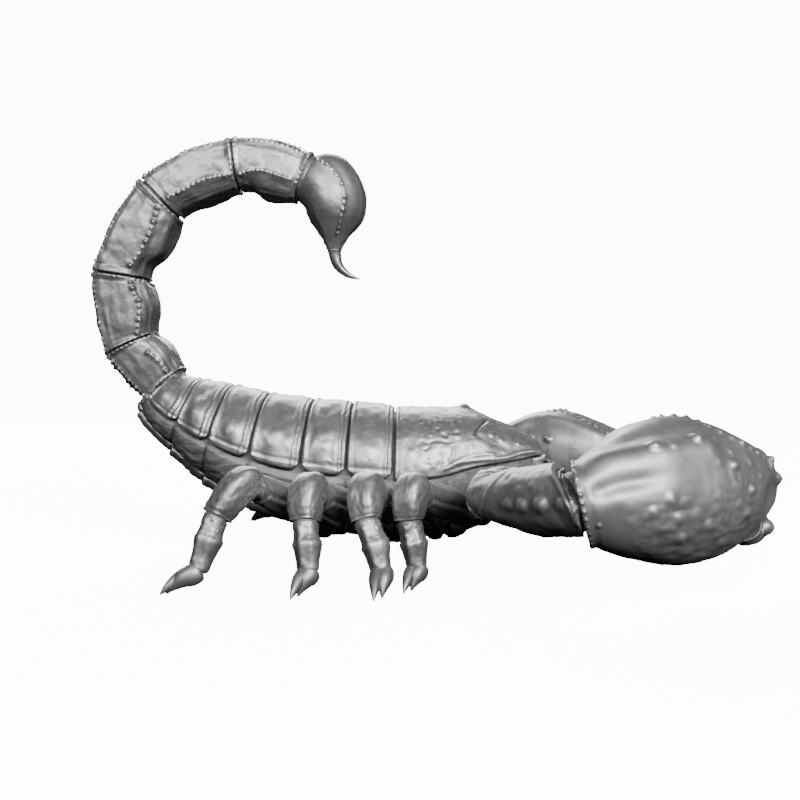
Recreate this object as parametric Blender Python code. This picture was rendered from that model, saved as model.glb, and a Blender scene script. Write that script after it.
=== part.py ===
"""Desert scorpion: a still, life-size model, tail arched over the back and claws held forward.

The animal faces +X, +Y is its left side and +Z is up. Lengths below are millimetres, and each
mesh is scaled to metres as it is written. The body is a row of stations from the root of the
tail to the front margin of the head shield. Tail, legs and pedipalps are swept limbs whose
neighbours share a joint plane, with a clearance on each side of it. Limbs are shaped on the
left side and mirrored to the right.
"""
import math
from collections import namedtuple

import bmesh
import bpy
from mathutils import Vector

MM = 0.001
CLEARANCE = 0.15                # on each side of a joint plane
SKIN_GAP = 0.3                  # between a plate and what lies under it
SIDES = {"left": 1, "right": -1}
UP = Vector((0.0, 0.0, 1.0))
LEFT = Vector((0.0, 1.0, 0.0))
FORWARD = Vector((1.0, 0.0, 0.0))

# Body stations, from the tail's root (0) to the front margin of the head shield (12).
# top_x and top_z lie on the back; lean is how far the section's foot swings to the rear.
Station = namedtuple("Station", "top_x top_z lean depth half_width edge_share")
STATIONS = (
    Station(-30.2, 25.1, 55.0, 6.7, 3.9, 0.50),
    Station(-30.9, 24.5, 43.0, 7.6, 5.2, 0.56),
    Station(-27.2, 23.9, 21.0, 11.1, 8.0, 0.58),
    Station(-22.9, 23.1, 15.0, 14.2, 10.0, 0.55),
    Station(-17.9, 22.0, 10.0, 16.0, 11.2, 0.54),
    Station(-11.8, 21.2, 6.0, 17.5, 11.6, 0.53),
    Station(-6.4, 20.8, 3.0, 18.2, 11.4, 0.52),
    Station(-0.6, 20.2, 1.5, 18.1, 10.9, 0.52),
    Station(4.8, 20.0, 0.0, 17.6, 10.3, 0.51),
    Station(9.6, 19.6, 0.0, 16.4, 9.4, 0.45),
    Station(13.2, 18.4, 0.0, 13.7, 8.2, 0.41),
    Station(16.4, 17.0, 0.0, 11.0, 7.0, 0.34),
    Station(19.4, 15.2, 0.0, 7.4, 5.8, 0.20),
)
LAST_STATION = len(STATIONS) - 1
HEAD_STATION = 7                # where the head shield meets the first back plate
BACK_ROUNDNESS = 2.25           # superellipse power of the back
BELLY_ROUNDNESS = 2.3           # and of the belly
PLATE = 1.0                     # thickness of a back plate
BELLY_PLATE = 0.8
FLANK_INSET = 1.0               # the soft flank lies this far inside the plate edges
BELLY_SPAN = (229.0, 311.0)     # degrees round the section that belly plates cover
BELLY_LINES = (0.45, 1.0, 2.0, 3.0, 4.0, 5.0)   # stations of the lines between belly plates
BELLY_STEP = 0.25               # how far a belly plate's rear edge stands proud
BELLY_STEP_SHARE = 0.85         # of a plate's length before the next plate's edge rises
BODY_SIDES = 24
PLATE_STEPS = 12
PLATE_GAP = 0.02                # in stations, on each side of the line between two plates
PLATE_LIFT = (0.12, 0.05, 0.1, 0.0)     # from a back plate's rear edge to its front edge
COMB_REACH = (5.35, 5.8)        # stations that the combs cover
COMB_SPAN = (280.0, 306.0)      # degrees that the left comb covers
COMB_DROP = 0.85                # how far the combs' outer face hangs below the belly
COMB_SWEEP = 0.25

# Plane that parts the soft trunk from the block of leg bases.
COXA_PLANE_POINT = Vector((-0.6, 0.0, 15.0))
COXA_PLANE_LEAN = 38.0

# Eye hill on the head shield.
HILL_PLACE = (9.1, 20.28)       # x, and the z of the eyes' centres
HILL_HEIGHT = 0.5
HILL_LENGTH = 2.0
HILL_WIDTH = 1.6
EYE_RADIUS = 0.45
EYE_OFFSET = 0.85

# Tail: joint centres in the middle plane, half height at each joint, and how far each
# segment bulges outward and inward between its joints.
TAIL_JOINTS = ((-32.6, 23.1), (-37.3, 28.5), (-38.8, 38.1), (-33.3, 49.1), (-22.7, 53.8), (-13.2, 52.0))
TAIL_HALF_HEIGHT = (3.4, 3.6, 3.75, 3.6, 3.55, 3.45)
TAIL_BULGE = ((0.4, 0.6), (0.5, 0.5), (0.8, 0.6), (0.9, 0.5), (0.8, 0.7))
TAIL_HALF_WIDTH = (3.7, 4.1, 4.3, 4.3, 4.1, 3.6)
TAIL_ROUNDNESS = 2.7
TRUNK_END = (-29.6, 19.6)       # a point inside the trunk that sets the first joint's tilt

# Venom bulb and sting: centre line and half height of the bulb, then of the sting.
BULB_LINE = ((-13.2, 52.0), (-11.0, 51.0), (-9.2, 48.9), (-8.4, 46.4), (-8.6, 43.9), (-9.25, 41.9))
BULB_HALF_HEIGHT = (3.3, 4.4, 4.8, 4.1, 2.6, 1.1)
BULB_HALF_WIDTH = (3.2, 4.1, 4.5, 3.9, 2.4, 1.1)
STING_LINE = ((-9.25, 41.9), (-8.75, 40.0), (-7.4, 38.6), (-5.6, 37.9))
STING_HALF_HEIGHT = (1.05, 0.7, 0.45, 0.12)

# Legs: places as (x, distance from the middle plane, z).
LegPlan = namedtuple("LegPlan", "hip_station knee shin tibia_end ankle toe")
LEGS = {
    1: LegPlan(9.0, (1.25, 23.4, 10.8), (1.0, 24.0, 7.4), (1.6, 24.3, 4.9), (1.9, 24.5, 2.1),
               (1.0, 25.6, 0.45)),
    2: LegPlan(7.85, (-3.9, 24.4, 11.0), (-3.7, 26.0, 7.6), (-2.6, 26.8, 5.1), (-2.0, 27.4, 2.3),
               (-2.3, 28.7, 0.45)),
    3: LegPlan(7.0, (-10.3, 24.4, 11.0), (-10.4, 26.0, 7.5), (-10.1, 26.8, 5.2), (-9.9, 27.4, 2.3),
               (-10.7, 28.3, 0.45)),
    4: LegPlan(6.0, (-17.5, 23.6, 11.6), (-20.4, 25.0, 8.0), (-21.1, 25.8, 5.5), (-22.1, 26.5, 2.2),
               (-24.6, 27.2, 0.45)),
}
HIP_ANGLE = 38.0                # degrees below the horizontal, round the body's section
TROCHANTER_REACH = 3.0
TROCHANTER_RISE = 0.4
FEMUR_ARCH = 0.3
FEMUR_HALF_HEIGHT = (1.7, 1.8, 2.15, 2.25, 2.05)
FEMUR_HALF_WIDTH = (1.55, 1.55, 1.65, 1.65, 1.65)
KNEE_SETBACK = 1.7
PATELLA_HALF_WIDTH = (1.85, 2.15, 2.15, 1.45)
PATELLA_HALF_HEIGHT = (1.85, 2.95, 2.75, 1.45)
PATELLA_HALF_DEPTH = (1.35, 1.05, 1.2, 1.4)     # on the inside of the knee's bend
FOOT_HALF = (1.4, 1.58, 1.25, 1.2, 0.5)
SOLE_HEIGHT = 1.25
SOLE_DROP = 0.45                # how much of the toe the floor flattens
CLAW_LENGTH = 1.7
CLAW_OVERLAP = 0.6              # of the claws' length inside the toe
CLAW_RADIUS = 0.32
CLAW_TIP = 0.15
CLAW_DROP = 0.1                 # how much of the claws the floor flattens
CLAW_SPREAD = 0.35

# Pedipalps: places as (x, distance from the middle plane, z).
PALP_ROOT_STATION = 10.4
PALP_ROOT_ANGLE = 22.0          # degrees below the horizontal, round the body's section
PALP_ROOT_INSET = 0.5
PALP_NECK = (13.7, 12.4, 10.2)
ELBOW = (9.5, 28.4, 10.6)
WRIST = (17.0, 38.2, 11.3)
FINGER_ROOT = (38.3, 26.4, 12.2)
TROCHANTER_HALF = (1.9, 2.5, 2.2)
PALP_FEMUR_HALF_HEIGHT = (2.2, 2.7, 2.8, 2.5)
PALP_FEMUR_HALF_WIDTH = (2.0, 2.3, 2.4, 2.3)
PALP_PATELLA_HALF_HEIGHT = (2.1, 3.1, 3.6, 3.3)
PALP_PATELLA_HALF_WIDTH = (2.1, 3.0, 3.2, 2.9)
HAND_HALF_HEIGHT = (3.5, 5.2, 6.9, 7.65, 7.35, 6.1, 3.8)
HAND_HALF_WIDTH = (3.2, 5.0, 6.4, 6.9, 6.6, 5.6, 3.6)
HAND_ROUNDNESS = 2.15
KNUCKLE_SLOPE = 0.6             # how far the free finger's joint faces down
FIXED_FINGER = ((36.0, 29.5, 14.2), (39.4, 24.6, 14.1), (40.8, 19.4, 13.2), (40.4, 14.0, 11.2))
FREE_FINGER = ((37.4, 27.0, 7.2), (39.8, 22.8, 6.8), (41.0, 18.0, 7.6), (40.5, 13.6, 9.6))
FINGER_HALF_HEIGHT = (2.4, 2.0, 1.35, 0.3)
FINGER_HALF_WIDTH = (2.2, 1.8, 1.2, 0.3)

# Jaws under the front margin of the head shield.
JAW_LINE = ((16.6, 2.35, 11.6), (18.2, 2.4, 11.9), (19.6, 2.25, 12.0), (20.5, 2.0, 11.0))
JAW_HALF_HEIGHT = (1.2, 1.45, 1.35, 0.5)
JAW_HALF_WIDTH = (1.4, 1.8, 1.5, 0.5)

Joint = namedtuple("Joint", "point normal")

Finish = namedtuple("Finish", "color roughness")
FINISHES = {
    "plate": Finish((0.19, 0.185, 0.18), 0.42),
    "limb": Finish((0.21, 0.205, 0.19), 0.40),
    "membrane": Finish((0.30, 0.285, 0.25), 0.60),
    "eye": Finish((0.008, 0.008, 0.010), 0.08),
    "sting": Finish((0.035, 0.022, 0.018), 0.28),
}


def smooth(values, t):
    """The value at t (0 to 1) on a smooth curve through evenly spaced values."""
    spans = len(values) - 1
    position = min(max(t, 0.0), 1.0) * spans
    index = min(int(position), spans - 1)
    f = position - index
    start, end = values[index], values[index + 1]
    before = values[index - 1] if index > 0 else start * 2 - end
    after = values[index + 2] if index + 2 <= spans else end * 2 - start
    bend = before * 2 - start * 5 + end * 4 - after
    twist = start * 3 - before - end * 3 + after
    return (start * 2 + (end - before) * f + bend * (f * f) + twist * (f * f * f)) * 0.5


def flattened(value, power):
    """A sine or cosine bent towards the square, for a superellipse."""
    return math.copysign(abs(value) ** (2.0 / power), value)


def arc_line(start, corner, end):
    """Four places on the arc that rounds off a corner between two others."""
    return [start.lerp(corner, t).lerp(corner.lerp(end, t), t) for t in (0.0, 1 / 3, 2 / 3, 1.0)]


def in_middle(place):
    """A tail place, given as (x, z)."""
    return Vector((place[0], 0.0, place[1]))


# Materials, collections and objects.

def make_material(name):
    """A plain Principled material for one finish."""
    finish = FINISHES[name]
    material = bpy.data.materials.new(name)
    material.use_nodes = True
    shader = material.node_tree.nodes["Principled BSDF"]
    shader.inputs["Base Color"].default_value = (*finish.color, 1.0)
    shader.inputs["Roughness"].default_value = finish.roughness
    shader.inputs["Metallic"].default_value = 0.0
    return material


def add_object(name, shape, finish, collection, side=1):
    """Write a closed shape, in millimetres, as an object in metres; side -1 mirrors it."""
    bmesh.ops.scale(shape, vec=(MM, MM * side, MM), verts=shape.verts)
    bmesh.ops.recalc_face_normals(shape, faces=shape.faces)
    mesh = bpy.data.meshes.new(name)
    shape.to_mesh(mesh)
    shape.free()
    mesh.materials.append(bpy.data.materials.get(finish) or make_material(finish))
    mesh.shade_smooth()
    part = bpy.data.objects.new(name, mesh)
    collection.objects.link(part)
    return part


def add_pair(name, shape, finish, collection, joined=None, cutters=None):
    """Write a left limb piece and its mirror image; the name has {} where the side goes.

    joined is a second closed shape that a live Boolean unites with the first.
    """
    for side, sign in SIDES.items():
        part = add_object(name.format(side), shape.copy(), finish, collection, sign)
        if joined:
            extra = add_object(part.name + "_joined", joined.copy(), finish, cutters, sign)
            extra.hide_render = True
            extra.display_type = "WIRE"
            union = part.modifiers.new("union", "BOOLEAN")
            union.operation = "UNION"
            union.object = extra
    shape.free()
    if joined:
        joined.free()


# Swept limbs.

def sphere_rows(sides, rows):
    """A closed sphere cage of that many rings, with (vertex, row share, angle, reach) for each."""
    shape = bmesh.new()
    bmesh.ops.create_uvsphere(shape, u_segments=sides, v_segments=rows + 1, radius=1.0)
    places = []
    for vertex in shape.verts:
        row = round(math.acos(max(-1.0, min(1.0, vertex.co.z))) / math.pi * (rows + 1))
        reach = 0.0 if row in (0, rows + 1) else 1.0
        share = min(max((row - 1) / (rows - 1), 0.0), 1.0)
        places.append((vertex, share, math.atan2(vertex.co.y, vertex.co.x), reach))
    return shape, places


class Limb:
    """A tapering body swept along a curve, whose ends lie in its joints' planes."""

    def __init__(self, line, half_width, half_height, start=None, end=None, across=None, roundness=2.0,
                 half_depth=None):
        self.line = line
        self.half_width = half_width
        self.half_height = half_height
        self.half_depth = half_depth or half_height
        self.start = start
        self.end = end
        self.across = across
        self.roundness = roundness

    def tangent(self, t):
        """Direction of the curve at t."""
        step = 0.01
        return (smooth(self.line, t + step) - smooth(self.line, t - step)).normalized()

    def axes(self, t):
        """Direction of the curve, and the section's sideways and upward directions."""
        tangent = self.tangent(t)
        across = self.across or UP.cross(tangent)
        across = (across - tangent * across.dot(tangent)).normalized()
        return tangent, across, tangent.cross(across)

    def place(self, t, angle, reach):
        """The point of the surface at t along the curve and angle round it."""
        tangent, across, upward = self.axes(t)
        sideways = flattened(math.cos(angle), self.roundness) * smooth(self.half_width, t)
        rise = flattened(math.sin(angle), self.roundness)
        rise *= smooth(self.half_height if rise > 0.0 else self.half_depth, t)
        offset = (across * sideways + upward * rise) * reach
        plane = tangent
        if self.start:
            plane = plane.lerp(self.start.normal, max(0.0, 1.0 - t / 0.45))
        if self.end:
            plane = plane.lerp(self.end.normal, max(0.0, 1.0 - (1.0 - t) / 0.45))
        offset -= tangent * (offset.dot(plane) / tangent.dot(plane))
        return self.trim(smooth(self.line, t) + offset)

    def trim(self, point):
        """Keep a point on this limb's side of its joints, with the clearance."""
        if self.start:
            short = (point - self.start.point).dot(self.start.normal) - CLEARANCE
            point = point - self.start.normal * min(short, 0.0)
        if self.end:
            past = (point - self.end.point).dot(self.end.normal) + CLEARANCE
            point = point - self.end.normal * max(past, 0.0)
        return point

    def shape(self, sides, rows):
        """The closed body of the limb."""
        shape, places = sphere_rows(sides, rows)
        for vertex, share, angle, reach in places:
            vertex.co = self.place(share, angle, reach)
        return shape


def joint_between(before, centre, after):
    """The joint at a bend: its plane halves the bend's angle."""
    normal = (centre - before).normalized() + (after - centre).normalized()
    return Joint(centre, normal.normalized())


# Body.

def body_point(station, angle, inset=0.0, lower_inset=None):
    """A point round the body's section at a station.

    The angle, in degrees, is 90 on the back, 270 on the belly and 0 at the left plate edge.
    """
    t = station / LAST_STATION
    fields = [smooth(column, t) for column in zip(*STATIONS)]
    top_x, top_z, lean, depth, half_width, edge_share = fields
    down = Vector((-math.sin(math.radians(lean)), 0.0, -math.cos(math.radians(lean))))
    turn = math.radians(angle)
    upper = math.sin(turn) >= -1e-6
    if not upper and lower_inset is not None:
        inset = lower_inset
    power = BACK_ROUNDNESS if upper else BELLY_ROUNDNESS
    half_height = depth * (edge_share if upper else 1.0 - edge_share) - inset
    rise = flattened(math.sin(turn), power) * half_height
    sideways = flattened(math.cos(turn), power) * (half_width - inset)
    middle = Vector((top_x, 0.0, top_z)) + down * depth * edge_share
    return middle - down * rise + LEFT * sideways


def plate_shape(stations, angles, lift, thickness):
    """A closed plate over part of the body, from a slab bent onto it.

    stations and lift hold one value for each row along the body, and angles one for each
    step round it.
    """
    rows = len(stations) - 1
    steps = len(angles) - 1
    shape = bmesh.new()
    bmesh.ops.create_grid(shape, x_segments=steps, y_segments=rows, size=0.5)
    top = bmesh.ops.extrude_face_region(shape, geom=shape.faces[:])["geom"]
    top_verts = {item for item in top if isinstance(item, bmesh.types.BMVert)}
    for vertex in shape.verts:
        step = round((vertex.co.x + 0.5) * steps)
        row = round((vertex.co.y + 0.5) * rows)
        inset = -lift[row] if vertex in top_verts else thickness
        vertex.co = body_point(stations[row], angles[step], inset)
    return shape


def spread(first, last, steps):
    """Evenly spaced values from first to last."""
    return [first + (last - first) * step / steps for step in range(steps + 1)]


def cut_by_plane(shape, point, normal):
    """Remove what lies beyond a plane and close the cut."""
    geometry = shape.verts[:] + shape.edges[:] + shape.faces[:]
    bmesh.ops.bisect_plane(shape, geom=geometry, plane_co=point, plane_no=normal, clear_outer=True)
    rim = [edge for edge in shape.edges if edge.is_boundary]
    bmesh.ops.holes_fill(shape, edges=rim, sides=0)


def core_shape(belly_inset):
    """The soft body under the plates, from the tail's root to the front of the head."""
    shape, places = sphere_rows(BODY_SIDES, LAST_STATION + 1)
    first, last = BELLY_SPAN
    margin = 360.0 / BODY_SIDES
    for vertex, share, angle, reach in places:
        station = share * LAST_STATION
        degrees = math.degrees(angle) % 360.0
        lower = belly_inset if first - margin < degrees < last + margin else FLANK_INSET
        if reach:
            vertex.co = body_point(station, degrees, PLATE + SKIN_GAP, lower)
        else:
            vertex.co = (body_point(station, 90.0, PLATE) + body_point(station, 270.0, PLATE)) / 2
    return shape


def coxa_plane():
    """Point and forward normal of the plane between the trunk and the leg bases."""
    lean = math.radians(COXA_PLANE_LEAN)
    return COXA_PLANE_POINT, Vector((math.cos(lean), 0.0, -math.sin(lean)))


def build_trunk(body):
    """Soft trunk, leg bases, back plates, belly plates and combs."""
    point, normal = coxa_plane()
    trunk = core_shape(BELLY_PLATE + SKIN_GAP)
    cut_by_plane(trunk, point - normal * CLEARANCE, normal)
    root = tail_joints()[0]
    cut_by_plane(trunk, root.point - root.normal * CLEARANCE, root.normal)
    add_object("trunk", trunk, "membrane", body)
    bases = core_shape(0.0)
    cut_by_plane(bases, point + normal * CLEARANCE, -normal)
    cut_by_plane(bases, Vector((JAW_LINE[0][0] - CLEARANCE, 0.0, 0.0)), FORWARD)
    add_object("leg_bases", bases, "membrane", body)
    angles = spread(0.0, 180.0, PLATE_STEPS)
    for number in range(1, HEAD_STATION):
        rear = HEAD_STATION - number
        stations = spread(rear + PLATE_GAP, rear + 1 - PLATE_GAP, len(PLATE_LIFT) - 1)
        add_object(f"tergite_{number}", plate_shape(stations, angles, PLATE_LIFT, PLATE), "plate", body)
    add_object("sternites", belly_shape(), "plate", body)
    comb = plate_shape(spread(*COMB_REACH, 3), spread(*COMB_SPAN, 4), (COMB_DROP,) * 4, -SKIN_GAP)
    for vertex in comb.verts:
        vertex.co.x -= COMB_SWEEP * abs(vertex.co.y)
    add_pair("pectine_{}", comb, "limb", body)


def belly_shape():
    """The belly plates as one stepped shell, each plate's rear edge standing proud."""
    stations, lift = [], []
    for rear, front in zip(BELLY_LINES, BELLY_LINES[1:]):
        stations += [rear, rear + (front - rear) * BELLY_STEP_SHARE]
        lift += [BELLY_STEP, 0.0]
    stations.append(BELLY_LINES[-1])
    lift.append(0.0)
    return plate_shape(stations, spread(*BELLY_SPAN, 6), lift, BELLY_PLATE)


def build_head(body):
    """Head shield with its eye hill, median eyes and jaws."""
    stations = spread(HEAD_STATION + PLATE_GAP, LAST_STATION, 9)
    shield = plate_shape(stations, spread(0.0, 180.0, PLATE_STEPS), (0.0,) * len(stations), PLATE)
    hill_x, hill_z = HILL_PLACE
    for vertex in shield.verts:
        distance = ((vertex.co.x - hill_x) / HILL_LENGTH) ** 2 + (vertex.co.y / HILL_WIDTH) ** 2
        vertex.co.z += HILL_HEIGHT * math.exp(-distance)
    add_object("carapace", shield, "plate", body)
    eye = bmesh.new()
    bmesh.ops.create_uvsphere(eye, u_segments=8, v_segments=6, radius=EYE_RADIUS)
    bmesh.ops.translate(eye, vec=(hill_x, EYE_OFFSET, hill_z), verts=eye.verts)
    add_pair("eye_{}", eye, "eye", body)
    line = [Vector(place) for place in JAW_LINE]
    jaw = Limb(line, JAW_HALF_WIDTH, JAW_HALF_HEIGHT, Joint(line[0], FORWARD))
    add_pair("chelicera_{}", jaw.shape(8, 6), "limb", body)


# Tail.

def tail_joints():
    """The tail's joints, from its root to the venom bulb."""
    centres = [in_middle(place) for place in TAIL_JOINTS]
    line = [in_middle(TRUNK_END)] + centres + [in_middle(BULB_LINE[1])]
    return [joint_between(*line[index:index + 3]) for index in range(len(centres))]


def build_tail(body):
    """Five segments, the venom bulb and the sting."""
    joints = tail_joints()
    for index in range(len(joints) - 1):
        start, end = joints[index], joints[index + 1]
        outward = (end.point - start.point).normalized().cross(LEFT)
        bulge_out, bulge_in = TAIL_BULGE[index]
        middle = (start.point + end.point) / 2 + outward * (bulge_out - bulge_in) / 2
        first, last = TAIL_HALF_HEIGHT[index:index + 2]
        waist = (first + last + bulge_out + bulge_in) / 2
        wide = TAIL_HALF_WIDTH[index:index + 2]
        segment = Limb((start.point, middle, end.point), (wide[0], sum(wide) / 2 + 0.2, wide[1]),
                       (first, waist, last), start, end, LEFT, TAIL_ROUNDNESS)
        add_object(f"tail_{index + 1}", segment.shape(14, 6), "plate", body)
    bulb_line = [in_middle(place) for place in BULB_LINE]
    sting_line = [in_middle(place) for place in STING_LINE]
    tip_joint = joint_between(bulb_line[-2], sting_line[0], sting_line[1])
    bulb = Limb(bulb_line, BULB_HALF_WIDTH, BULB_HALF_HEIGHT, joints[-1], tip_joint, LEFT)
    add_object("telson", bulb.shape(14, 9), "plate", body)
    sting = Limb(sting_line, STING_HALF_HEIGHT, STING_HALF_HEIGHT, tip_joint, None, LEFT)
    add_object("sting", sting.shape(8, 8), "sting", body)


# Legs and pedipalps, all on the left side.

def body_joint(station, degrees_below, inset):
    """Where a limb leaves the body: a plane that touches the body's surface there."""
    turn = 360.0 - degrees_below
    point = body_point(station, turn, inset)
    around = body_point(station, turn + 1.0, inset) - body_point(station, turn - 1.0, inset)
    forward = body_point(station + 0.1, turn, inset) - body_point(station - 0.1, turn, inset)
    normal = around.cross(forward).normalized()
    if normal.y < 0.0:
        normal.negate()
    return Joint(point + normal * CLEARANCE, normal)


def build_leg(number, body, cutters):
    """Femur, patella and foot of one pair of legs."""
    plan = LEGS[number]
    name = "leg_{}_" + str(number)
    hip = body_joint(plan.hip_station, HIP_ANGLE, 0.0)
    corner, shin, tibia_end, ankle, toe = (Vector(place) for place in plan[1:])
    outward = Vector((corner.x - hip.point.x, corner.y - hip.point.y, 0.0)).normalized()
    across = UP.cross(outward)
    setback = corner + (hip.point - corner).normalized() * KNEE_SETBACK
    trochanter = hip.point + outward * TROCHANTER_REACH + UP * TROCHANTER_RISE
    knee = joint_between(trochanter, setback, corner.lerp(shin, 0.5))
    shin_joint = joint_between(corner, shin, tibia_end)
    thigh = [trochanter.lerp(setback, step / 3) for step in range(4)]
    thigh[1].z += FEMUR_ARCH
    femur = Limb([hip.point] + thigh, FEMUR_HALF_WIDTH, FEMUR_HALF_HEIGHT, hip, knee, across)
    add_pair(name + "_femur", femur.shape(10, 4), "limb", body)
    patella = Limb(arc_line(setback, corner, shin), PATELLA_HALF_WIDTH, PATELLA_HALF_HEIGHT,
                   knee, shin_joint, across, half_depth=PATELLA_HALF_DEPTH)
    add_pair(name + "_patella", patella.shape(10, 5), "limb", body)
    sole = ankle.lerp(toe, 0.45)
    sole.z = SOLE_HEIGHT
    foot = Limb((shin, tibia_end, ankle, sole, toe), FOOT_HALF, FOOT_HALF, shin_joint, None, across)
    add_pair(name + "_foot", flatten_sole(foot.shape(8, 8), SOLE_DROP), "limb", body,
             claws_shape(sole, toe), cutters)


def flatten_sole(shape, drop):
    """Bring whatever lies lower than the drop onto the floor."""
    for vertex in shape.verts:
        if vertex.co.z < drop:
            vertex.co.z = 0.0
    return shape


def claws_shape(sole, toe):
    """Two short claws that spread from the toe and rest their tips on the floor."""
    ahead = Vector((toe.x - sole.x, toe.y - sole.y, 0.0)).normalized()
    across = UP.cross(ahead)
    claws = bmesh.new()
    for sign in (-1, 1):
        root = toe - ahead * CLAW_OVERLAP + across * sign * CLAW_RADIUS * 1.15
        tip = root + ahead * CLAW_LENGTH + across * sign * CLAW_SPREAD
        tip.z = CLAW_TIP
        claw = Limb((root, root.lerp(tip, 0.5) + UP * CLAW_TIP, tip),
                    (CLAW_RADIUS, CLAW_RADIUS * 0.9, CLAW_TIP), (CLAW_RADIUS, CLAW_RADIUS * 0.9, CLAW_TIP))
        single = bpy.data.meshes.new("claw")
        claw.shape(5, 3).to_mesh(single)
        claws.from_mesh(single)
        bpy.data.meshes.remove(single)
    return flatten_sole(claws, CLAW_DROP)


def build_palps(body, cutters):
    """Trochanter, femur, patella, hand and free finger of the pedipalps."""
    neck, elbow, wrist, knuckle = (Vector(place) for place in (PALP_NECK, ELBOW, WRIST, FINGER_ROOT))
    root_joint = body_joint(PALP_ROOT_STATION, PALP_ROOT_ANGLE, PALP_ROOT_INSET)
    root = root_joint.point
    neck_joint = joint_between(root, neck, elbow)
    elbow_joint = joint_between(neck, elbow, wrist)
    wrist_joint = joint_between(elbow, wrist, knuckle)
    lengths = (
        ("trochanter", (root, root.lerp(neck, 0.5), neck), TROCHANTER_HALF, TROCHANTER_HALF,
         root_joint, neck_joint, 4),
        ("femur", [neck.lerp(elbow, step / 3) for step in range(4)], PALP_FEMUR_HALF_WIDTH,
         PALP_FEMUR_HALF_HEIGHT, neck_joint, elbow_joint, 6),
        ("patella", [elbow.lerp(wrist, step / 3) for step in range(4)], PALP_PATELLA_HALF_WIDTH,
         PALP_PATELLA_HALF_HEIGHT, elbow_joint, wrist_joint, 7),
    )
    for name, line, width, height, start, end, rows in lengths:
        limb = Limb(line, width, height, start, end)
        add_pair("palp_{}_" + name, limb.shape(12, rows), "limb", body)
    free, fixed = ([Vector(place) for place in finger] for finger in (FREE_FINGER, FIXED_FINGER))
    slope = (free[1] - free[0]).normalized() - UP * KNUCKLE_SLOPE
    knuckle_joint = Joint(free[0], slope.normalized())
    spans = len(HAND_HALF_HEIGHT) - 1
    hand = Limb([wrist.lerp(knuckle, step / spans) for step in range(spans + 1)], HAND_HALF_WIDTH,
                HAND_HALF_HEIGHT, wrist_joint, None, None, HAND_ROUNDNESS).shape(16, 11)
    cut_by_plane(hand, free[0] - knuckle_joint.normal * CLEARANCE, knuckle_joint.normal)
    fixed_finger = Limb(fixed, FINGER_HALF_WIDTH, FINGER_HALF_HEIGHT)
    add_pair("palp_{}_hand", hand, "limb", body, fixed_finger.shape(10, 7), cutters)
    free_finger = Limb(free, FINGER_HALF_WIDTH, FINGER_HALF_HEIGHT, knuckle_joint)
    add_pair("palp_{}_finger", free_finger.shape(10, 7), "limb", body)


def centre_on_origin(collection):
    """Move every piece so that the origin is below the middle of the whole animal."""
    places = [vertex.co.x for part in collection.objects for vertex in part.data.vertices]
    shift = (min(places) + max(places)) / 2
    for part in bpy.data.objects:
        for vertex in part.data.vertices:
            vertex.co.x -= shift


def new_collection(name):
    """A collection linked to the scene."""
    collection = bpy.data.collections.new(name)
    bpy.context.scene.collection.children.link(collection)
    return collection


def main():
    """Build the whole animal."""
    for old in list(bpy.data.objects):
        bpy.data.objects.remove(old, do_unlink=True)
    body = new_collection("desert_scorpion")
    cutters = new_collection("cutters")
    build_trunk(body)
    build_head(body)
    build_tail(body)
    for number in LEGS:
        build_leg(number, body, cutters)
    build_palps(body, cutters)
    centre_on_origin(body)


main()
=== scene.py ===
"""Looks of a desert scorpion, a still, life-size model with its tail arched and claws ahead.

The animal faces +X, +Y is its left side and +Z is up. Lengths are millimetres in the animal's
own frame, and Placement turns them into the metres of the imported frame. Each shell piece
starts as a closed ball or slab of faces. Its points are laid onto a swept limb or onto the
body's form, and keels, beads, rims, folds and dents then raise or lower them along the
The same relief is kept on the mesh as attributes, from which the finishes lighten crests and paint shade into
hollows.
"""

import itertools
import logging
import math
from dataclasses import dataclass, field
from enum import Enum
from typing import Callable, Iterable, Mapping, Sequence

import bmesh
import bpy
import numpy as np
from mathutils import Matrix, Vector


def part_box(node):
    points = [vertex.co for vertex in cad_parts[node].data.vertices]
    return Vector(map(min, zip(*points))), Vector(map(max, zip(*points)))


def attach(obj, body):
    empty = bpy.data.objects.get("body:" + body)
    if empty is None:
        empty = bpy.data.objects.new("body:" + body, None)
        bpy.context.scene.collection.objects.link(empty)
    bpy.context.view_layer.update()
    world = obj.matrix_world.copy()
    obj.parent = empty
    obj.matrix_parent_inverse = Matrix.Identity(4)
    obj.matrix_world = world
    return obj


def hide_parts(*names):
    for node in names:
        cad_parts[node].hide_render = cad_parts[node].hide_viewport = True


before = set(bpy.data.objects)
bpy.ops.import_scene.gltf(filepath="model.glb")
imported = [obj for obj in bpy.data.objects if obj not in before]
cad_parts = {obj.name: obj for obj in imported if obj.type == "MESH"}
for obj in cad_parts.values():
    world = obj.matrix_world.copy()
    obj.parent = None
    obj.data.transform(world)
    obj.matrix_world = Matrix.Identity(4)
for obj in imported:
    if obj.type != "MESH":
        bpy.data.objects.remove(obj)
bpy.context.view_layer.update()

LOG = logging.getLogger("scorpion")
ROOT = "root"                   # the one body that every piece rides on
MM = 0.001
Array = np.ndarray
Pair = tuple[float, float]
Knots = Sequence[Pair]
Sizes = tuple[float, ...]
Colour = tuple[float, float, float]

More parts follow.
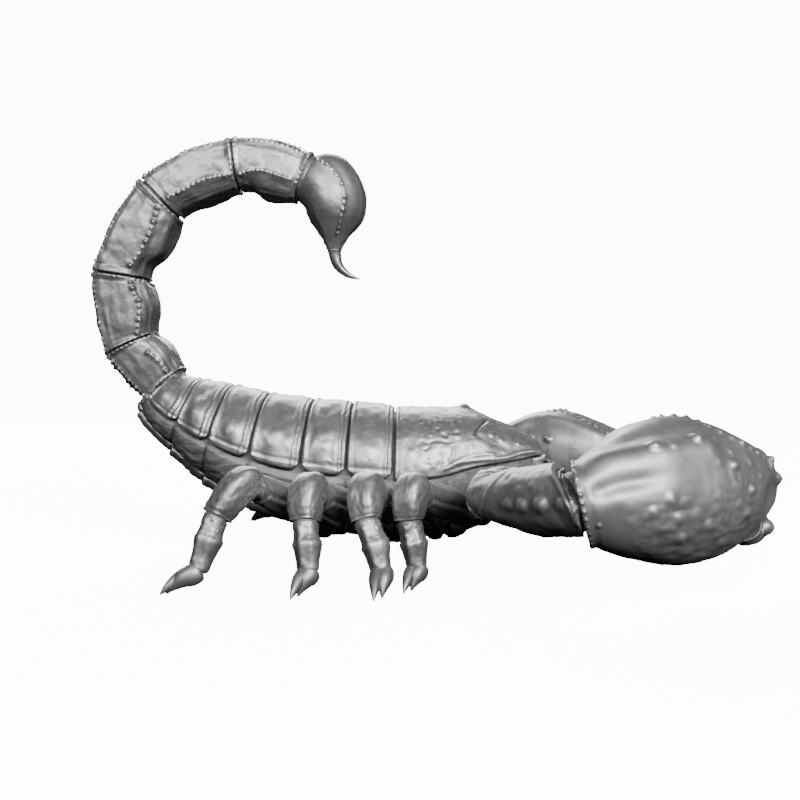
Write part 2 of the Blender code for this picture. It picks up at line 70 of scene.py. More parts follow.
UP = np.array((0.0, 0.0, 1.0))
LEFT = np.array((0.0, 1.0, 0.0))
FORWARD = np.array((1.0, 0.0, 0.0))
MIRROR = np.array((1.0, -1.0, 1.0))
CLEARANCE = 0.15                # on each side of a joint plane
WEAR_AND_SHADE_DEPTH = 0.12               # relief that counts as fully worn and lit on a crest, or fully in painted shade in a groove
UNDERSIDE_SHADE = -0.3              # painted shade on a plate's lower face
LINE_SAMPLES = 160
MITRE_SHARE = 0.45              # share of a limb over which its sections turn into a joint's plane
RIM_TURN = np.radians((0.0, 20.0, 40.0, 60.0, 80.0))
CAP_REACH = np.array((0.25, 0.5, 0.75, 0.92))
GIRTH_FACTOR = 2.76             # girth of a section, over the sum of its half sizes
BEAD_CHUNK = 8
TINY = 1e-9


class Side(Enum):
    """The two sides of the animal, with the sign of their y."""

    LEFT = 1
    RIGHT = -1

    @property
    def word(self) -> str:
        """The side as it stands in node names."""
        return self.name.lower()


# Sums that shapes share.

def curve(values: Sequence, share: Array) -> Array:
    """Read a smooth curve through evenly spaced values.

    Args:
        values: numbers or points, one for each knot.
        share: where to read, from 0 at the first knot to 1 at the last.

    Returns:
        The values there, in the shape of share.
    """
    knots = np.asarray(values, float)
    share = np.asarray(share, float)
    ends = 2.0 * knots[[0, -1]] - knots[[1, -2]]
    padded = np.concatenate([ends[:1], knots, ends[1:]])
    spans = len(knots) - 1
    position = np.clip(share, 0.0, 1.0) * spans
    index = np.minimum(position.astype(int), spans - 1)
    part = position - index
    if knots.ndim > 1:
        part = part[..., None]
    before, start, end, after = (padded[index + step] for step in range(4))
    bend = 2.0 * before - 5.0 * start + 4.0 * end - after
    twist = 3.0 * start - before - 3.0 * end + after
    return (2.0 * start + (end - before) * part + bend * part**2 + twist * part**3) / 2.0


def flattened(value: Array, power: float) -> Array:
    """Bend a sine or cosine towards the square, for a superellipse of that power."""
    return np.sign(value) * np.abs(value) ** (2.0 / power)


def scaled(numbers: Sequence[float], factor: float) -> Sizes:
    """The numbers of a colour or a list of sizes, each times the factor."""
    return tuple(number * factor for number in numbers)


def unit(vectors: Array) -> Array:
    """Scale vectors to length 1."""
    return vectors / np.maximum(np.linalg.norm(vectors, axis=-1, keepdims=True), TINY)


def smoothstep(low: float, high: float, value: Array) -> Array:
    """Ease from 0 where value is low to 1 where it is high."""
    part = np.clip((value - low) / (high - low), 0.0, 1.0)
    return part * part * (3.0 - 2.0 * part)


def lattice_noise(places: Array, seed: int) -> Array:
    """Smooth noise from -1 to 1 that swells about once in each unit of length.

    Args:
        places: points, in the noise's own units.
        seed: which noise.

    Returns:
        One value for each point.
    """
    cell = np.floor(places).astype(np.int64)
    part = places - cell
    part = part * part * (3.0 - 2.0 * part)
    total = np.zeros(places.shape[:-1])
    for corner in itertools.product((0, 1), repeat=3):
        key = (cell + corner) @ np.array((73856093, 19349663, 83492791)) + seed * 2654435
        key = (key ^ (key >> 13)) * 1274126177
        value = ((key ^ (key >> 16)) & 0xFFFF) / 32767.5 - 1.0
        total += value * np.prod(np.where(np.array(corner, bool), part, 1.0 - part), axis=-1)
    return total


def fractal_noise(places: Array, octaves: int = 3, seed: int = 0) -> Array:
    """Layers of noise, each finer and fainter than the last, for points in units of the coarsest swell."""
    return sum(lattice_noise(places * 2.0**octave, seed + octave) * 0.5**octave for octave in range(octaves))


def bell(value: Array, middle: float, width: float) -> Array:
    """A bell curve: 1 where value is at the middle, fading away over the width."""
    return np.exp(-(((value - middle) / width) ** 2))


def signed_degrees(angle: Array) -> Array:
    """Angles from 0 to a full turn, in radians, as degrees from -180 to 180."""
    degrees = np.degrees(angle)
    return np.where(degrees > 180.0, degrees - 360.0, degrees)


def both_sides(line: Array) -> tuple[Array, Array]:
    """A line and its mirror image."""
    return line, line * MIRROR


def even_angles(sides: int, roundness: float) -> Array:
    """Angles in radians, from 0, that space points evenly round a superellipse of that power."""
    fine = np.linspace(0.0, math.tau, 2881)
    across, up = flattened(np.cos(fine), roundness), flattened(np.sin(fine), roundness)
    steps = np.hypot(np.diff(across), np.diff(up))
    length = np.concatenate([[0.0], np.cumsum(steps)])
    return np.interp(np.arange(sides) / sides * length[-1], length, fine)


def neighbour_mean(values: Array, ring: bool, passes: int = 8) -> Array:
    """Average each value of a grid with its neighbours, again and again; in a ring the columns close."""
    for _ in range(passes):
        tall = np.pad(values, ((1, 1), (0, 0)), mode="edge")
        values = (tall[:-2] + 2.0 * values + tall[2:]) / 4.0
        wide = np.pad(values, ((0, 0), (1, 1)), mode="wrap" if ring else "edge")
        values = (wide[:, :-2] + 2.0 * values + wide[:, 2:]) / 4.0
    return values


def scattered(count: int, low: Sequence[float], high: Sequence[float], seed: int) -> Array:
    """Random places in a box of any number of dimensions, the same on every run."""
    return np.random.default_rng(seed).uniform(low, high, (count, len(low)))


def resampled(line: Array, spacing: float) -> Array:
    """Points at an even spacing along a line, half a spacing in from each end."""
    steps = np.linalg.norm(np.diff(line, axis=0), axis=1)
    length = np.concatenate([[0.0], np.cumsum(steps)])
    count = max(1, round(length[-1] / spacing))
    at = (np.arange(count) + 0.5) / count * length[-1]
    return np.stack([np.interp(at, length, line[:, axis]) for axis in range(3)], axis=1)


@dataclass(frozen=True)
class Joint:
    """A plane where two pieces meet."""

    point: Array
    normal: Array

    @classmethod
    def between(cls, before: Array, centre: Array, after: Array) -> "Joint":
        """The joint at a bend, whose plane halves the bend's angle."""
        return cls(centre, unit(unit(centre - before) + unit(after - centre)))

    def depth(self, points: Array) -> Array:
        """How far points lie beyond the plane."""
        return (points - self.point) @ self.normal


# A grid of surface points and the relief on it.

@dataclass
class Skin:
    """Points of a surface in rows along it and columns round it, with the relief to come.

    Attributes:
        points: the smooth surface.
        ring: whether the columns close into a ring.
        height: how far the relief raises each point along its normal.
        tone: how much paler (above 0) or darker (below 0) the finish is there, for the thing's own colour
            and, in places, for painted light and shade.
    """

    points: Array
    ring: bool
    height: Array = field(init=False)
    tone: Array = field(init=False)
    normals: Array = field(init=False)

    def __post_init__(self) -> None:
        """Work out the normals of the smooth surface."""
        self.height = np.zeros(self.points.shape[:2])
        self.tone = np.zeros(self.points.shape[:2])
        if self.ring:
            around = np.roll(self.points, -1, axis=1) - np.roll(self.points, 1, axis=1)
        else:
            around = np.gradient(self.points, axis=1)
        self.normals = unit(np.cross(around, np.gradient(self.points, axis=0)))

    def close_to(self, places: Array, reach: float) -> Array:
        """Which of the surface's points lie within reach of the box round some places."""
        flat = self.points.reshape(-1, 3)
        inside = (flat > places.min(0) - reach) & (flat < places.max(0) + reach)
        return np.flatnonzero(inside.all(1))

    def near(self, line: Array, reach: float) -> tuple[Array, Array, Array]:
        """The points within reach of a line: their numbers, distances, and the nearest share of it."""
        chosen = self.close_to(line, reach)
        flat = self.points.reshape(-1, 3)[chosen]
        square = (flat**2).sum(1)[:, None] - 2.0 * flat @ line.T + (line**2).sum(1)
        nearest = square.argmin(1)
        distance = np.sqrt(np.maximum(square[np.arange(len(flat)), nearest], 0.0))
        return chosen, distance, nearest / max(len(line) - 1, 1)

    def ridge(self, line: Array, width: float, height: float, fade: float = 0.08, tone: float = 0.0) -> None:
        """Raise a ridge of that half width along a line, or cut a groove; its ends die away over the fade."""
        chosen, distance, share = self.near(line, 3.0 * width)
        strength = np.exp(-((distance / width) ** 2))
        if fade:
            strength = strength * smoothstep(0.0, fade, np.minimum(share, 1.0 - share) + fade * 0.15)
        self.height.reshape(-1)[chosen] += height * strength
        self.tone.reshape(-1)[chosen] += tone * strength

    def strokes(self, form: "Limb | BodyForm", table: Iterable[tuple], mirrored: bool = False) -> None:
        """Draw ridges on a form, from rows of knots, width, height and, if given, fade and tone."""
        for knots, *sizes in table:
            line = form.path(knots)
            for each in both_sides(line) if mirrored else (line,):
                self.ridge(each, *sizes)

    def rings(self, limb: "Limb", table: Iterable[tuple]) -> None:
        """Draw ridges round a limb, from rows of share along, width, height and, if given, tone."""
        for share, width, height, *tone in table:
            self.ridge(limb.ring(share), width, height, 0.0, *tone)

    def beads(self, centres: Array, radius: Array | float, height: Array | float) -> None:
        """Raise a round bead, or with a negative height sink a pit, at each centre on the surface."""
        flat = self.points.reshape(-1, 3)
        order = np.argsort(centres[:, 0])
        radii = np.broadcast_to(radius, len(centres))[order]
        heights = np.broadcast_to(height, len(centres))[order]
        total = np.zeros(len(flat))
        for first in range(0, len(centres), BEAD_CHUNK):
            chunk = slice(first, first + BEAD_CHUNK)
            some = centres[order[chunk]]
            chosen = self.close_to(some, float(radii[chunk].max()))
            if not len(chosen):
                continue
            near = flat[chosen]
            square = (near**2).sum(1)[:, None] - 2.0 * near @ some.T + (some**2).sum(1)
            dome = np.clip(1.0 - square / radii[chunk] ** 2, 0.0, 1.0) ** 1.5 * heights[chunk]
            dome = dome[np.arange(len(near)), np.abs(dome).argmax(1)]
            total[chosen] = np.where(np.abs(dome) > np.abs(total[chosen]), dome, total[chosen])
        self.height += total.reshape(self.height.shape)

    def tubercles(self, limb: "Limb", table: Iterable[tuple]) -> None:
        """Raise beads on a limb, from rows of share along, degrees round, radius and height."""
        at = np.array(table)
        self.beads(limb.spots(at[:, :2]), at[:, 2], at[:, 3])

    def bead_row(self, line: Array, spacing: float, radius: float, height: float, seed: int = 0) -> None:
        """Raise a row of beads along a line, of slightly uneven size by the seed."""
        centres = resampled(line, spacing)
        size = 1.0 + scattered(len(centres), (-0.38,), (0.25,), seed)[:, 0]
        self.beads(centres, radius * size, height * size)

    def wrinkle(self, size: float | Sequence[float], height: float, mask: Array | float = 1.0,
                seed: int = 0, octaves: int = 3) -> None:
        """Add noise whose swells lie that far apart along X, Y and Z, where the mask lets it."""
        self.height += height * mask * fractal_noise(self.points / np.asarray(size), octaves, seed)

    def part(self, first: int, last: int) -> "Skin":
        """The rows from first up to last, as a skin of their own."""
        some = Skin(self.points[first:last], self.ring)
        some.height, some.tone, some.normals = (each[first:last].copy()
                                                for each in (self.height, self.tone, self.normals))
        return some

    def surface(self) -> Array:
        """The points with their relief."""
        return self.points + self.normals * self.height[..., None]

    def wear_and_shade(self) -> Array:
        """Where the relief stands above its surroundings (to 1) or below them (to -1); the finishes lighten
        the first for rubbing and painted highlight and darken the second as painted shade.
        """
        return np.clip((self.height - neighbour_mean(self.height, self.ring)) / WEAR_AND_SHADE_DEPTH, -1.0, 1.0)


@dataclass
class Limb:
    """A tapering body swept along a curve, whose ends lie in its joints' planes.

    Attributes:
        line: knots of the middle line.
        half_width: half sizes sideways, spread evenly along the line.
        half_height: half sizes upward.
        start, end: the joints at its ends.
        across: the sideways direction, or None for level.
        roundness: the section's superellipse power.
        half_depth: half sizes downward, where they differ from those upward.
        rims: radii that round the edges of the start and the end.
        step: distance between neighbouring points of the mesh.
        hollows: how deep the start and the end are dished.
        grid_share, grid_angle: where the points of its skin lie, once that is made.
    """

    line: Array
    half_width: Sequence[float]
    half_height: Sequence[float]
    start: Joint | None = None
    end: Joint | None = None
    across: Array | None = None
    roundness: float = 2.0
    half_depth: Sequence[float] | None = None
    rims: Pair = (0.2, 0.2)
    step: float = 0.13
    hollows: Pair = (0.3, 0.3)
    grid_share: Array = field(init=False)
    grid_angle: Array = field(init=False)

    def tangent(self, share: Array) -> Array:
        """Direction of the curve."""
        return unit(curve(self.line, share + 0.01) - curve(self.line, share - 0.01))

    def place(self, share: Array, angle: Array, reach: Array | float = 1.0) -> Array:
        """Find points of the limb.

        Args:
            share: how far along the limb, from 0 to 1.
            angle: radians round it, from the sideways direction towards the upward one.
            reach: how far out, from 0 on the middle line to 1 on the surface.

        Returns:
            The points.
        """
        share, angle = np.asarray(share, float), np.asarray(angle, float)
        tangent = self.tangent(share)
        level = np.cross(UP, tangent) if self.across is None else self.across
        across = unit(level - tangent * (level * tangent).sum(-1, keepdims=True))
        upward = np.cross(tangent, across)
        rise = flattened(np.sin(angle), self.roundness)
        below = self.half_height if self.half_depth is None else self.half_depth
        rise = rise * np.where(rise > 0.0, curve(self.half_height, share), curve(below, share)) * reach
        sideways = flattened(np.cos(angle), self.roundness) * curve(self.half_width, share) * reach
        offset = across * sideways[..., None] + upward * rise[..., None]
        plane = tangent
        for joint, away in ((self.start, share), (self.end, 1.0 - share)):
            if joint:
                blend = np.maximum(0.0, 1.0 - away / MITRE_SHARE)[..., None]
                plane = plane + (joint.normal - plane) * blend
        slip = (offset * plane).sum(-1, keepdims=True) / (tangent * plane).sum(-1, keepdims=True)
        return self.trimmed(curve(self.line, share) + offset - tangent * slip)

    def trimmed(self, points: Array) -> Array:
        """Keep points on this limb's side of its joints, with the clearance."""
        if self.start:
            short = np.minimum(self.start.depth(points) - CLEARANCE, 0.0)
            points = points - self.start.normal * short[..., None]
        if self.end:
            past = np.maximum(self.end.depth(points) + CLEARANCE, 0.0)
            points = points - self.end.normal * past[..., None]
        return points

    def length(self) -> float:
        """Length of the middle line."""
        return float(np.linalg.norm(np.diff(curve(self.line, np.linspace(0, 1, 60)), axis=0), axis=1).sum())

    def rows(self) -> tuple[Array, Array]:
        """Share and reach of each row of the mesh, with a rounded edge at both ends."""
        length = self.length()
        body = edge_spacing(max(6, round(length / self.step)))
        shares, reaches = [], []
        for share, rim in zip((0.0, 1.0), self.rims):
            half = float(min(curve(self.half_width, share), curve(self.half_height, share)))
            rim = min(rim, half * 0.8)
            outer = 1.0 - rim / half
            inward = rim / length * (1.0 - np.cos(RIM_TURN))
            shares.append(np.concatenate([np.zeros(len(CAP_REACH)), inward]))
            reaches.append(np.concatenate([outer * CAP_REACH, outer + rim / half * np.sin(RIM_TURN)]))
        spare = 0.2 / len(body)
        inside = body[(body > shares[0][-1] + spare) & (body < 1.0 - shares[1][-1] - spare)]
        share = np.concatenate([shares[0], inside, 1.0 - shares[1][::-1]])
        reach = np.concatenate([reaches[0], np.ones(len(inside)), reaches[1][::-1]])
        return share, reach

    def skin(self) -> Skin:
        """The limb's smooth surface as a skin."""
        share, reach = self.rows()
        girth = GIRTH_FACTOR * (max(self.half_width) + max(self.half_height))
        angle = even_angles(max(12, 4 * round(girth / self.step / 4)), self.roundness)
        points = self.place(share[:, None], angle[None, :], reach[:, None])
        start, end = self.hollows
        inwards = np.where(share < 0.5, start, -end) * (1.0 - reach**2)
        points = points + self.tangent(share)[:, None, :] * inwards[:, None, None]
        self.grid_share = np.broadcast_to(share[:, None], points.shape[:2])
        self.grid_angle = np.broadcast_to(angle[None, :], points.shape[:2])
        return Skin(points, True)

    def path(self, knots: Knots) -> Array:
        """A line on the surface, from knots of (share along, degrees round)."""
        at = curve(knots, np.linspace(0.0, 1.0, LINE_SAMPLES))
        return self.place(at[:, 0], np.radians(at[:, 1]))

    def ring(self, share: float) -> Array:
        """A line once round the surface."""
        angle = np.linspace(0.0, math.tau, LINE_SAMPLES * 2)
        return self.place(np.full_like(angle, share), angle)

    def spots(self, places: Knots) -> Array:
        """Points on the surface, from (share along, degrees round)."""
        at = np.asarray(places, float)
        return self.place(at[:, 0], np.radians(at[:, 1]))


def folded(sleeve: Limb, folds: float, depth: float) -> Skin:
    """The surface of a short sleeve of soft skin, with folds round it and small wrinkles."""
    skin = sleeve.skin()
    skin.height += depth * np.sin(sleeve.grid_share * math.tau * folds)
    skin.wrinkle(0.5, depth, 1.0, 5, 2)
    return skin


# Meshes and objects.

@dataclass(frozen=True)
class Placement:
    """Turns the animal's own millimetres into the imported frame's metres."""

    shift: float

    @classmethod
    def from_frame(cls) -> "Placement":
        """Read how far ahead the frame holds the animal, from the median eyes."""
        low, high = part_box("eye_left")
        return cls((low.x + high.x) / 2.0 / MM - EYE_HILL.x)

    def metres(self, points: Array, side: Side = Side.LEFT) -> Array:
        """Points in metres, on that side of the animal."""
        return (points * np.array((1.0, side.value, 1.0)) + FORWARD * self.shift) * MM


@dataclass(frozen=True)
class EyeHill:
    """The hill on the head shield that carries the median eyes."""

    x: float = 9.1
    eye_z: float = 20.28
    height: float = 0.5
    length: float = 2.0
    width: float = 1.6
    eye_radius: float = 0.45
    eye_offset: float = 0.85


EYE_HILL = EyeHill()


def mesh_from(name: str, flat: Array, flip: bool, shape: bmesh.types.BMesh,
              values: Mapping[str, Array]) -> bpy.types.Mesh:
    """Write a bmesh as a mesh with its points moved and values stored on them.

    Args:
        name: the mesh's name.
        flat: where each point goes.
        flip: whether the faces have to turn round.
        shape: the faces, which are freed.
        values: numbers for each point, by attribute name.

    Returns:
        The mesh.
    """
    mesh = bpy.data.meshes.new(name)
    shape.to_mesh(mesh)
    shape.free()
    mesh.vertices.foreach_set("co", flat.astype(np.float32).ravel())
    for label, numbers in values.items():
        layer = mesh.attributes.new(label, "FLOAT", "POINT")
        layer.data.foreach_set("value", numbers.astype(np.float32).ravel())
    if flip:
        mesh.flip_normals()
    mesh.shade_smooth()
    mesh.update()
    return mesh


def coordinates(mesh_points: bmesh.types.BMVertSeq) -> Array:
    """The places of a bmesh's points."""
    return np.array([vertex.co[:] for vertex in mesh_points])


def ball_mesh(name: str, skin: Skin, place: Placement, side: Side) -> bpy.types.Mesh:
    """A closed mesh whose rings are the rows of a skin.

    Args:
        name: the mesh's name.
        skin: the surface and its relief.
        place: where the animal stands.
        side: the side of the animal it is on.

    Returns:
        The mesh, with its poles at the middle of the first and last row.
    """
    rows, sides = skin.points.shape[:2]
    shape = bmesh.new()
    bmesh.ops.create_uvsphere(shape, u_segments=sides, v_segments=rows + 1, radius=1.0)
    places = coordinates(shape.verts)
    rank = np.round(np.arccos(np.clip(-places[:, 2], -1.0, 1.0)) / math.pi * (rows + 1)).astype(int)
    column = np.round(np.arctan2(places[:, 1], places[:, 0]) / (math.tau) * sides).astype(int) % sides
    row = np.clip(rank - 1, 0, rows - 1)
    surface = skin.surface()
    flat = surface[row, column]
    for pole, end in ((0, 0), (rows + 1, -1)):
        flat[rank == pole] = surface[end].mean(0)
    values = {"wear_and_shade": skin.wear_and_shade()[row, column], "tone": skin.tone[row, column]}
    return mesh_from(name, place.metres(flat, side), side is Side.RIGHT, shape, values)


def slab_mesh(name: str, top: Skin, below: Array, place: Placement) -> bpy.types.Mesh:
    """A closed plate between a skin and the surface below it.

    Args:
        name: the mesh's name.
        top: the upper surface and its relief.
        below: the lower surface's points, as a grid of the same size.
        place: where the animal stands.

    Returns:
        The mesh.
    """
    rows, columns = top.points.shape[:2]
    shape = bmesh.new()
    bmesh.ops.create_grid(shape, x_segments=columns - 1, y_segments=rows - 1, size=0.5)
    raised = bmesh.ops.extrude_face_region(shape, geom=shape.faces[:])["geom"]
    raised = [item for item in raised if isinstance(item, bmesh.types.BMVert)]
    bmesh.ops.translate(shape, vec=UP, verts=raised)
    bmesh.ops.recalc_face_normals(shape, faces=shape.faces)
    places = coordinates(shape.verts)
    column = np.round((places[:, 0] + 0.5) * (columns - 1)).astype(int)
    row = np.round((places[:, 1] + 0.5) * (rows - 1)).astype(int)
    upper = places[:, 2] > 0.5
    flat = np.where(upper[:, None], top.surface()[row, column], below[row, column])
    # A plate's lower face takes the painted shade of a groove.
    values = {"wear_and_shade": np.where(upper, top.wear_and_shade()[row, column], UNDERSIDE_SHADE), "tone": top.tone[row, column]}
    return mesh_from(name, place.metres(flat), False, shape, values)


def joined(name: str, meshes: Iterable[bpy.types.Mesh]) -> bpy.types.Mesh:
    """Put closed meshes into one mesh, and remove them."""
    shape = bmesh.new()
    for mesh in meshes:
        shape.from_mesh(mesh)
        bpy.data.meshes.remove(mesh)
    whole = bpy.data.meshes.new(name)
    shape.to_mesh(whole)
    shape.free()
    whole.shade_smooth()
    return whole


# Shader maths.

def operator_method(operation: str, swapped: bool = False) -> Callable:
    """The method of a Term for one operator, with its two sides swapped for a reflected one."""
    def method(term: "Term", other: "Term | float") -> "Term":
        """Add the Math node."""
        first, second = (other, term) if swapped else (term, other)
        return term.shader.maths(operation, first, second)
    return method


class Term:
    """A socket that takes part in sums written as Python expressions."""

    def __init__(self, shader: "Shader", socket: bpy.types.NodeSocket) -> None:
        """Remember the socket and the shader that it belongs to."""
        self.shader = shader
        self.socket = socket

    __add__ = __radd__ = operator_method("ADD")
    __sub__ = operator_method("SUBTRACT")
    __rsub__ = operator_method("SUBTRACT", swapped=True)
    __mul__ = __rmul__ = operator_method("MULTIPLY")

    def clamped(self) -> "Term":
        """The value held between 0 and 1."""
        return self.shader.maths("MULTIPLY", self, 1.0, clamp=True)


class Shader:
    """A material under construction."""

    def __init__(self, name: str) -> None:
        """Start a material with a Principled surface."""
        self.material = bpy.data.materials.new(name)
        self.material.use_nodes = True
        self.tree = self.material.node_tree
        self.tree.nodes.clear()
        self.surface = self.node("ShaderNodeBsdfPrincipled")
        self.node("ShaderNodeOutputMaterial", sockets={"Surface": self.surface.outputs["BSDF"]})

    def node(self, kind: str, settings: Mapping | None = None,
             sockets: Mapping | None = None) -> bpy.types.Node:
        """Add a node, with its options and with values or links for its sockets."""
        node = self.tree.nodes.new(kind)
        for label, value in (settings or {}).items():
            setattr(node, label, value)
        for label, value in (sockets or {}).items():
            self.feed(node, label, value)
        return node

    def feed(self, node: bpy.types.Node, label: str | int, value: object) -> None:
        """Link or set one input socket."""
        value = value.socket if isinstance(value, Term) else value
        if isinstance(value, bpy.types.NodeSocket):
            self.tree.links.new(value, node.inputs[label])
        else:
            node.inputs[label].default_value = value

    def maths(self, operation: str, first: object, second: object, clamp: bool = False) -> Term:
        """Add a Math node."""
        settings = {"operation": operation, "use_clamp": clamp}
        return Term(self, self.node("ShaderNodeMath", settings, {0: first, 1: second}).outputs[0])

    def attribute(self, name: str) -> Term:
        """Read numbers stored on the mesh."""
        return Term(self, self.node("ShaderNodeAttribute", {"attribute_name": name}).outputs["Fac"])

    def noise(self, size: float, detail: float = 2.0, stretch: Colour = (1.0, 1.0, 1.0)) -> Term:
        """Noise from 0 to 1 whose swells are about that many millimetres apart, times the stretch."""
        scale = tuple(1.0 / length for length in stretch)
        place = self.node("ShaderNodeTexCoord").outputs["Object"]
        place = self.node("ShaderNodeMapping", {}, {"Vector": place, "Scale": scale}).outputs[0]
        sockets = {"Vector": place, "Scale": 1.0 / (size * MM), "Detail": detail}
        return Term(self, self.node("ShaderNodeTexNoise", {}, sockets).outputs["Fac"])

    def mix(self, factor: Term, first: object, second: object) -> bpy.types.NodeSocket:
        """Blend two colours."""
        sockets = {0: factor, 6: self.colour(first), 7: self.colour(second)}
        return self.node("ShaderNodeMix", {"data_type": "RGBA"}, sockets).outputs[2]

    @staticmethod
    def colour(value: object) -> object:
        """A colour socket as it is, or three numbers with their alpha."""
        return (*value, 1.0) if isinstance(value, tuple) else value

    def bump(self, height: Term, depth: float) -> bpy.types.NodeSocket:
        """A normal from a height between 0 and 1 that stands for that many millimetres."""
        sockets = {"Height": height, "Distance": depth * MM, "Strength": 1.0}
        return self.node("ShaderNodeBump", {}, sockets).outputs["Normal"]

    def finished(self, inputs: Mapping[str, object]) -> bpy.types.Material:
        """Feed the surface's inputs, and give the material."""
        for label, value in inputs.items():
            self.feed(self.surface, label, value)
        return self.material




@dataclass(frozen=True)
class Cuticle:
    """Finish of hard shell: slate grey, paler on crests for rubbing and painted highlight, darker in the
    grooves as painted shade.

    Attributes:
        name: the material's name.
        shade: its middle colour.
        rubbed: its colour on crests, for rubbing and painted highlight.
        groove_shade: its colour in grooves, painted shade.
        roughness: how matt it is.
        gloss: strength of the clear outer layer.
        sheen: how metal-like it shines.
        grain: depth of the fine grain.
        grain_size: size of the fine grain.
    """

    name: str
    shade: Colour
    rubbed: Colour
    groove_shade: Colour
    roughness: float
    gloss: float = 0.04
    sheen: float = 0.82
    grain: float = 0.03
    grain_size: float = 0.22

    def material(self) -> bpy.types.Material:
        """Build the material."""
        shader = Shader(self.name)
        wear_and_shade, tone = shader.attribute("wear_and_shade"), shader.attribute("tone")
        clouds = shader.noise(3.2, 4.0)
        flecks = shader.noise(0.5, 3.0)
        grain = shader.noise(self.grain_size, 2.0)
        patchy = ((clouds - 0.5) * 0.55 + (flecks - 0.5) * 0.25 + tone * 0.6 + 0.5).clamped()
        base = shader.mix(patchy, scaled(self.shade, 0.78), scaled(self.shade, 1.22))
        # Crests turn paler: rubbing and painted highlight.
        base = shader.mix((wear_and_shade * 0.5 + (flecks - 0.5) * 0.2).clamped(), base, self.rubbed)
        # Grooves turn darker: painted shade.
        base = shader.mix((wear_and_shade * -0.9).clamped(), base, self.groove_shade)
        matt = (clouds - 0.5) * 0.14 + (flecks - 0.5) * 0.10 + self.roughness - wear_and_shade * 0.04
        return shader.finished({
            "Base Color": base, "Roughness": matt.clamped(), "Metallic": self.sheen,
            "Coat Weight": self.gloss, "Coat Roughness": 0.3, "Specular IOR Level": 1.0,
            "Normal": shader.bump(grain * 0.6 + flecks * 0.4, self.grain),
        })


@dataclass(frozen=True)
class Hide:
    """Finish of soft, folded skin between the plates, with painted shade in its folds."""

    name: str
    shade: Colour
    crease: Colour
    roughness: float = 0.55
    sheen: float = 0.5

    def material(self) -> bpy.types.Material:
        """Build the material."""
        shader = Shader(self.name)
        wear_and_shade, tone = shader.attribute("wear_and_shade"), shader.attribute("tone")
        mottle = shader.noise(1.6, 4.0)
        lines = shader.noise(0.28, 3.0, (3.0, 1.0, 1.0))
        patchy = ((mottle - 0.5) * 1.5 + tone + 0.5).clamped()
        base = shader.mix(patchy, scaled(self.shade, 0.7), scaled(self.shade, 1.25))
        # Painted shade: darker where the relief sinks into folds, and along a streak pattern.
        base = shader.mix((wear_and_shade * -1.1 + (lines - 0.55) * 0.5).clamped(), base, self.crease)
        return shader.finished({
            "Base Color": base, "Roughness": ((mottle - 0.5) * 0.2 + self.roughness).clamped(),
            "Metallic": self.sheen, "Normal": shader.bump(lines, 0.05),
        })


@dataclass(frozen=True)
class WetEye:
    """Finish of the eyes: dark grey and glossy, with a faint cloud inside."""

    name: str = "eye_gloss"
    pupil: Colour = (0.05, 0.05, 0.05)
    cloud: Colour = (0.09, 0.088, 0.085)

    def material(self) -> bpy.types.Material:
        """Build the material."""
        shader = Shader(self.name)
        cloud = shader.noise(0.35, 3.0)
        return shader.finished({
            "Base Color": shader.mix(cloud, self.pupil, self.cloud),
            "Roughness": (cloud * 0.06 + 0.18).clamped(), "Coat Weight": 0.6, "Coat Roughness": 0.1,
        })


class Look(Enum):
    """The finishes, each as a slot name and the recipe of its material."""

    PLATE = ("plate", Cuticle("back_plate_cuticle", (0.250, 0.248, 0.245), (0.34, 0.337, 0.332),
                              (0.085, 0.084, 0.082), 0.45))
    LIMB = ("limb", Cuticle("limb_cuticle", (0.243, 0.241, 0.238), (0.34, 0.337, 0.332),
                            (0.08, 0.079, 0.077), 0.47, grain_size=0.2))
    HAND = ("limb", Cuticle("hand_cuticle", (0.235, 0.233, 0.230), (0.31, 0.307, 0.302),
                            (0.10, 0.099, 0.097), 0.47, sheen=0.75, grain=0.015))
    HIDE = ("membrane", Hide("soft_skin", (0.135, 0.133, 0.130), (0.040, 0.039, 0.037)))
    EYE = ("eye", WetEye())
    STING = ("sting", Cuticle("sting_horn", (0.170, 0.165, 0.160), (0.26, 0.255, 0.25),
                              (0.05, 0.048, 0.046), 0.38, gloss=0.3, grain=0.01))


class Workshop:
    """Shows meshes as pieces of the animal, in place and in their finishes."""

    def __init__(self) -> None:
        """Find where the animal stands, and make every material once."""
        self.place = Placement.from_frame()
        self.materials = {look: look.value[1].material() for look in Look}

    def add(self, name: str, mesh: bpy.types.Mesh, look: Look, *replaced: str) -> None:
        """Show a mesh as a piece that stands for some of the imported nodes."""
        mesh.materials.clear()
        mesh.materials.append(self.materials[look])
        piece = bpy.data.objects.new(name, mesh)
        bpy.context.scene.collection.objects.link(piece)
        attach(piece, ROOT)
        if replaced:
            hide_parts(*replaced)

    def show(self, name: str, skins: Iterable[Skin], look: Look, *replaced: str,
             side: Side = Side.LEFT) -> None:
        """Show closed skins as one piece on that side of the animal."""
        meshes = [ball_mesh(name, skin, self.place, side) for skin in skins]
        self.add(name, joined(name, meshes), look, *replaced)

    def slab(self, name: str, top: Skin, below: Array, *replaced: str) -> None:
        """Show a closed plate between a skin and the surface below it."""
        self.add(name, slab_mesh(name, top, below, self.place), Look.PLATE, *replaced)


# The body's form.

@dataclass(frozen=True)
class Station:
    """A section of the body: the top of its back, its lean, size, and where the plate edge runs."""

    top_x: float
    top_z: float
    lean: float
    depth: float
    half_width: float
    edge_share: float


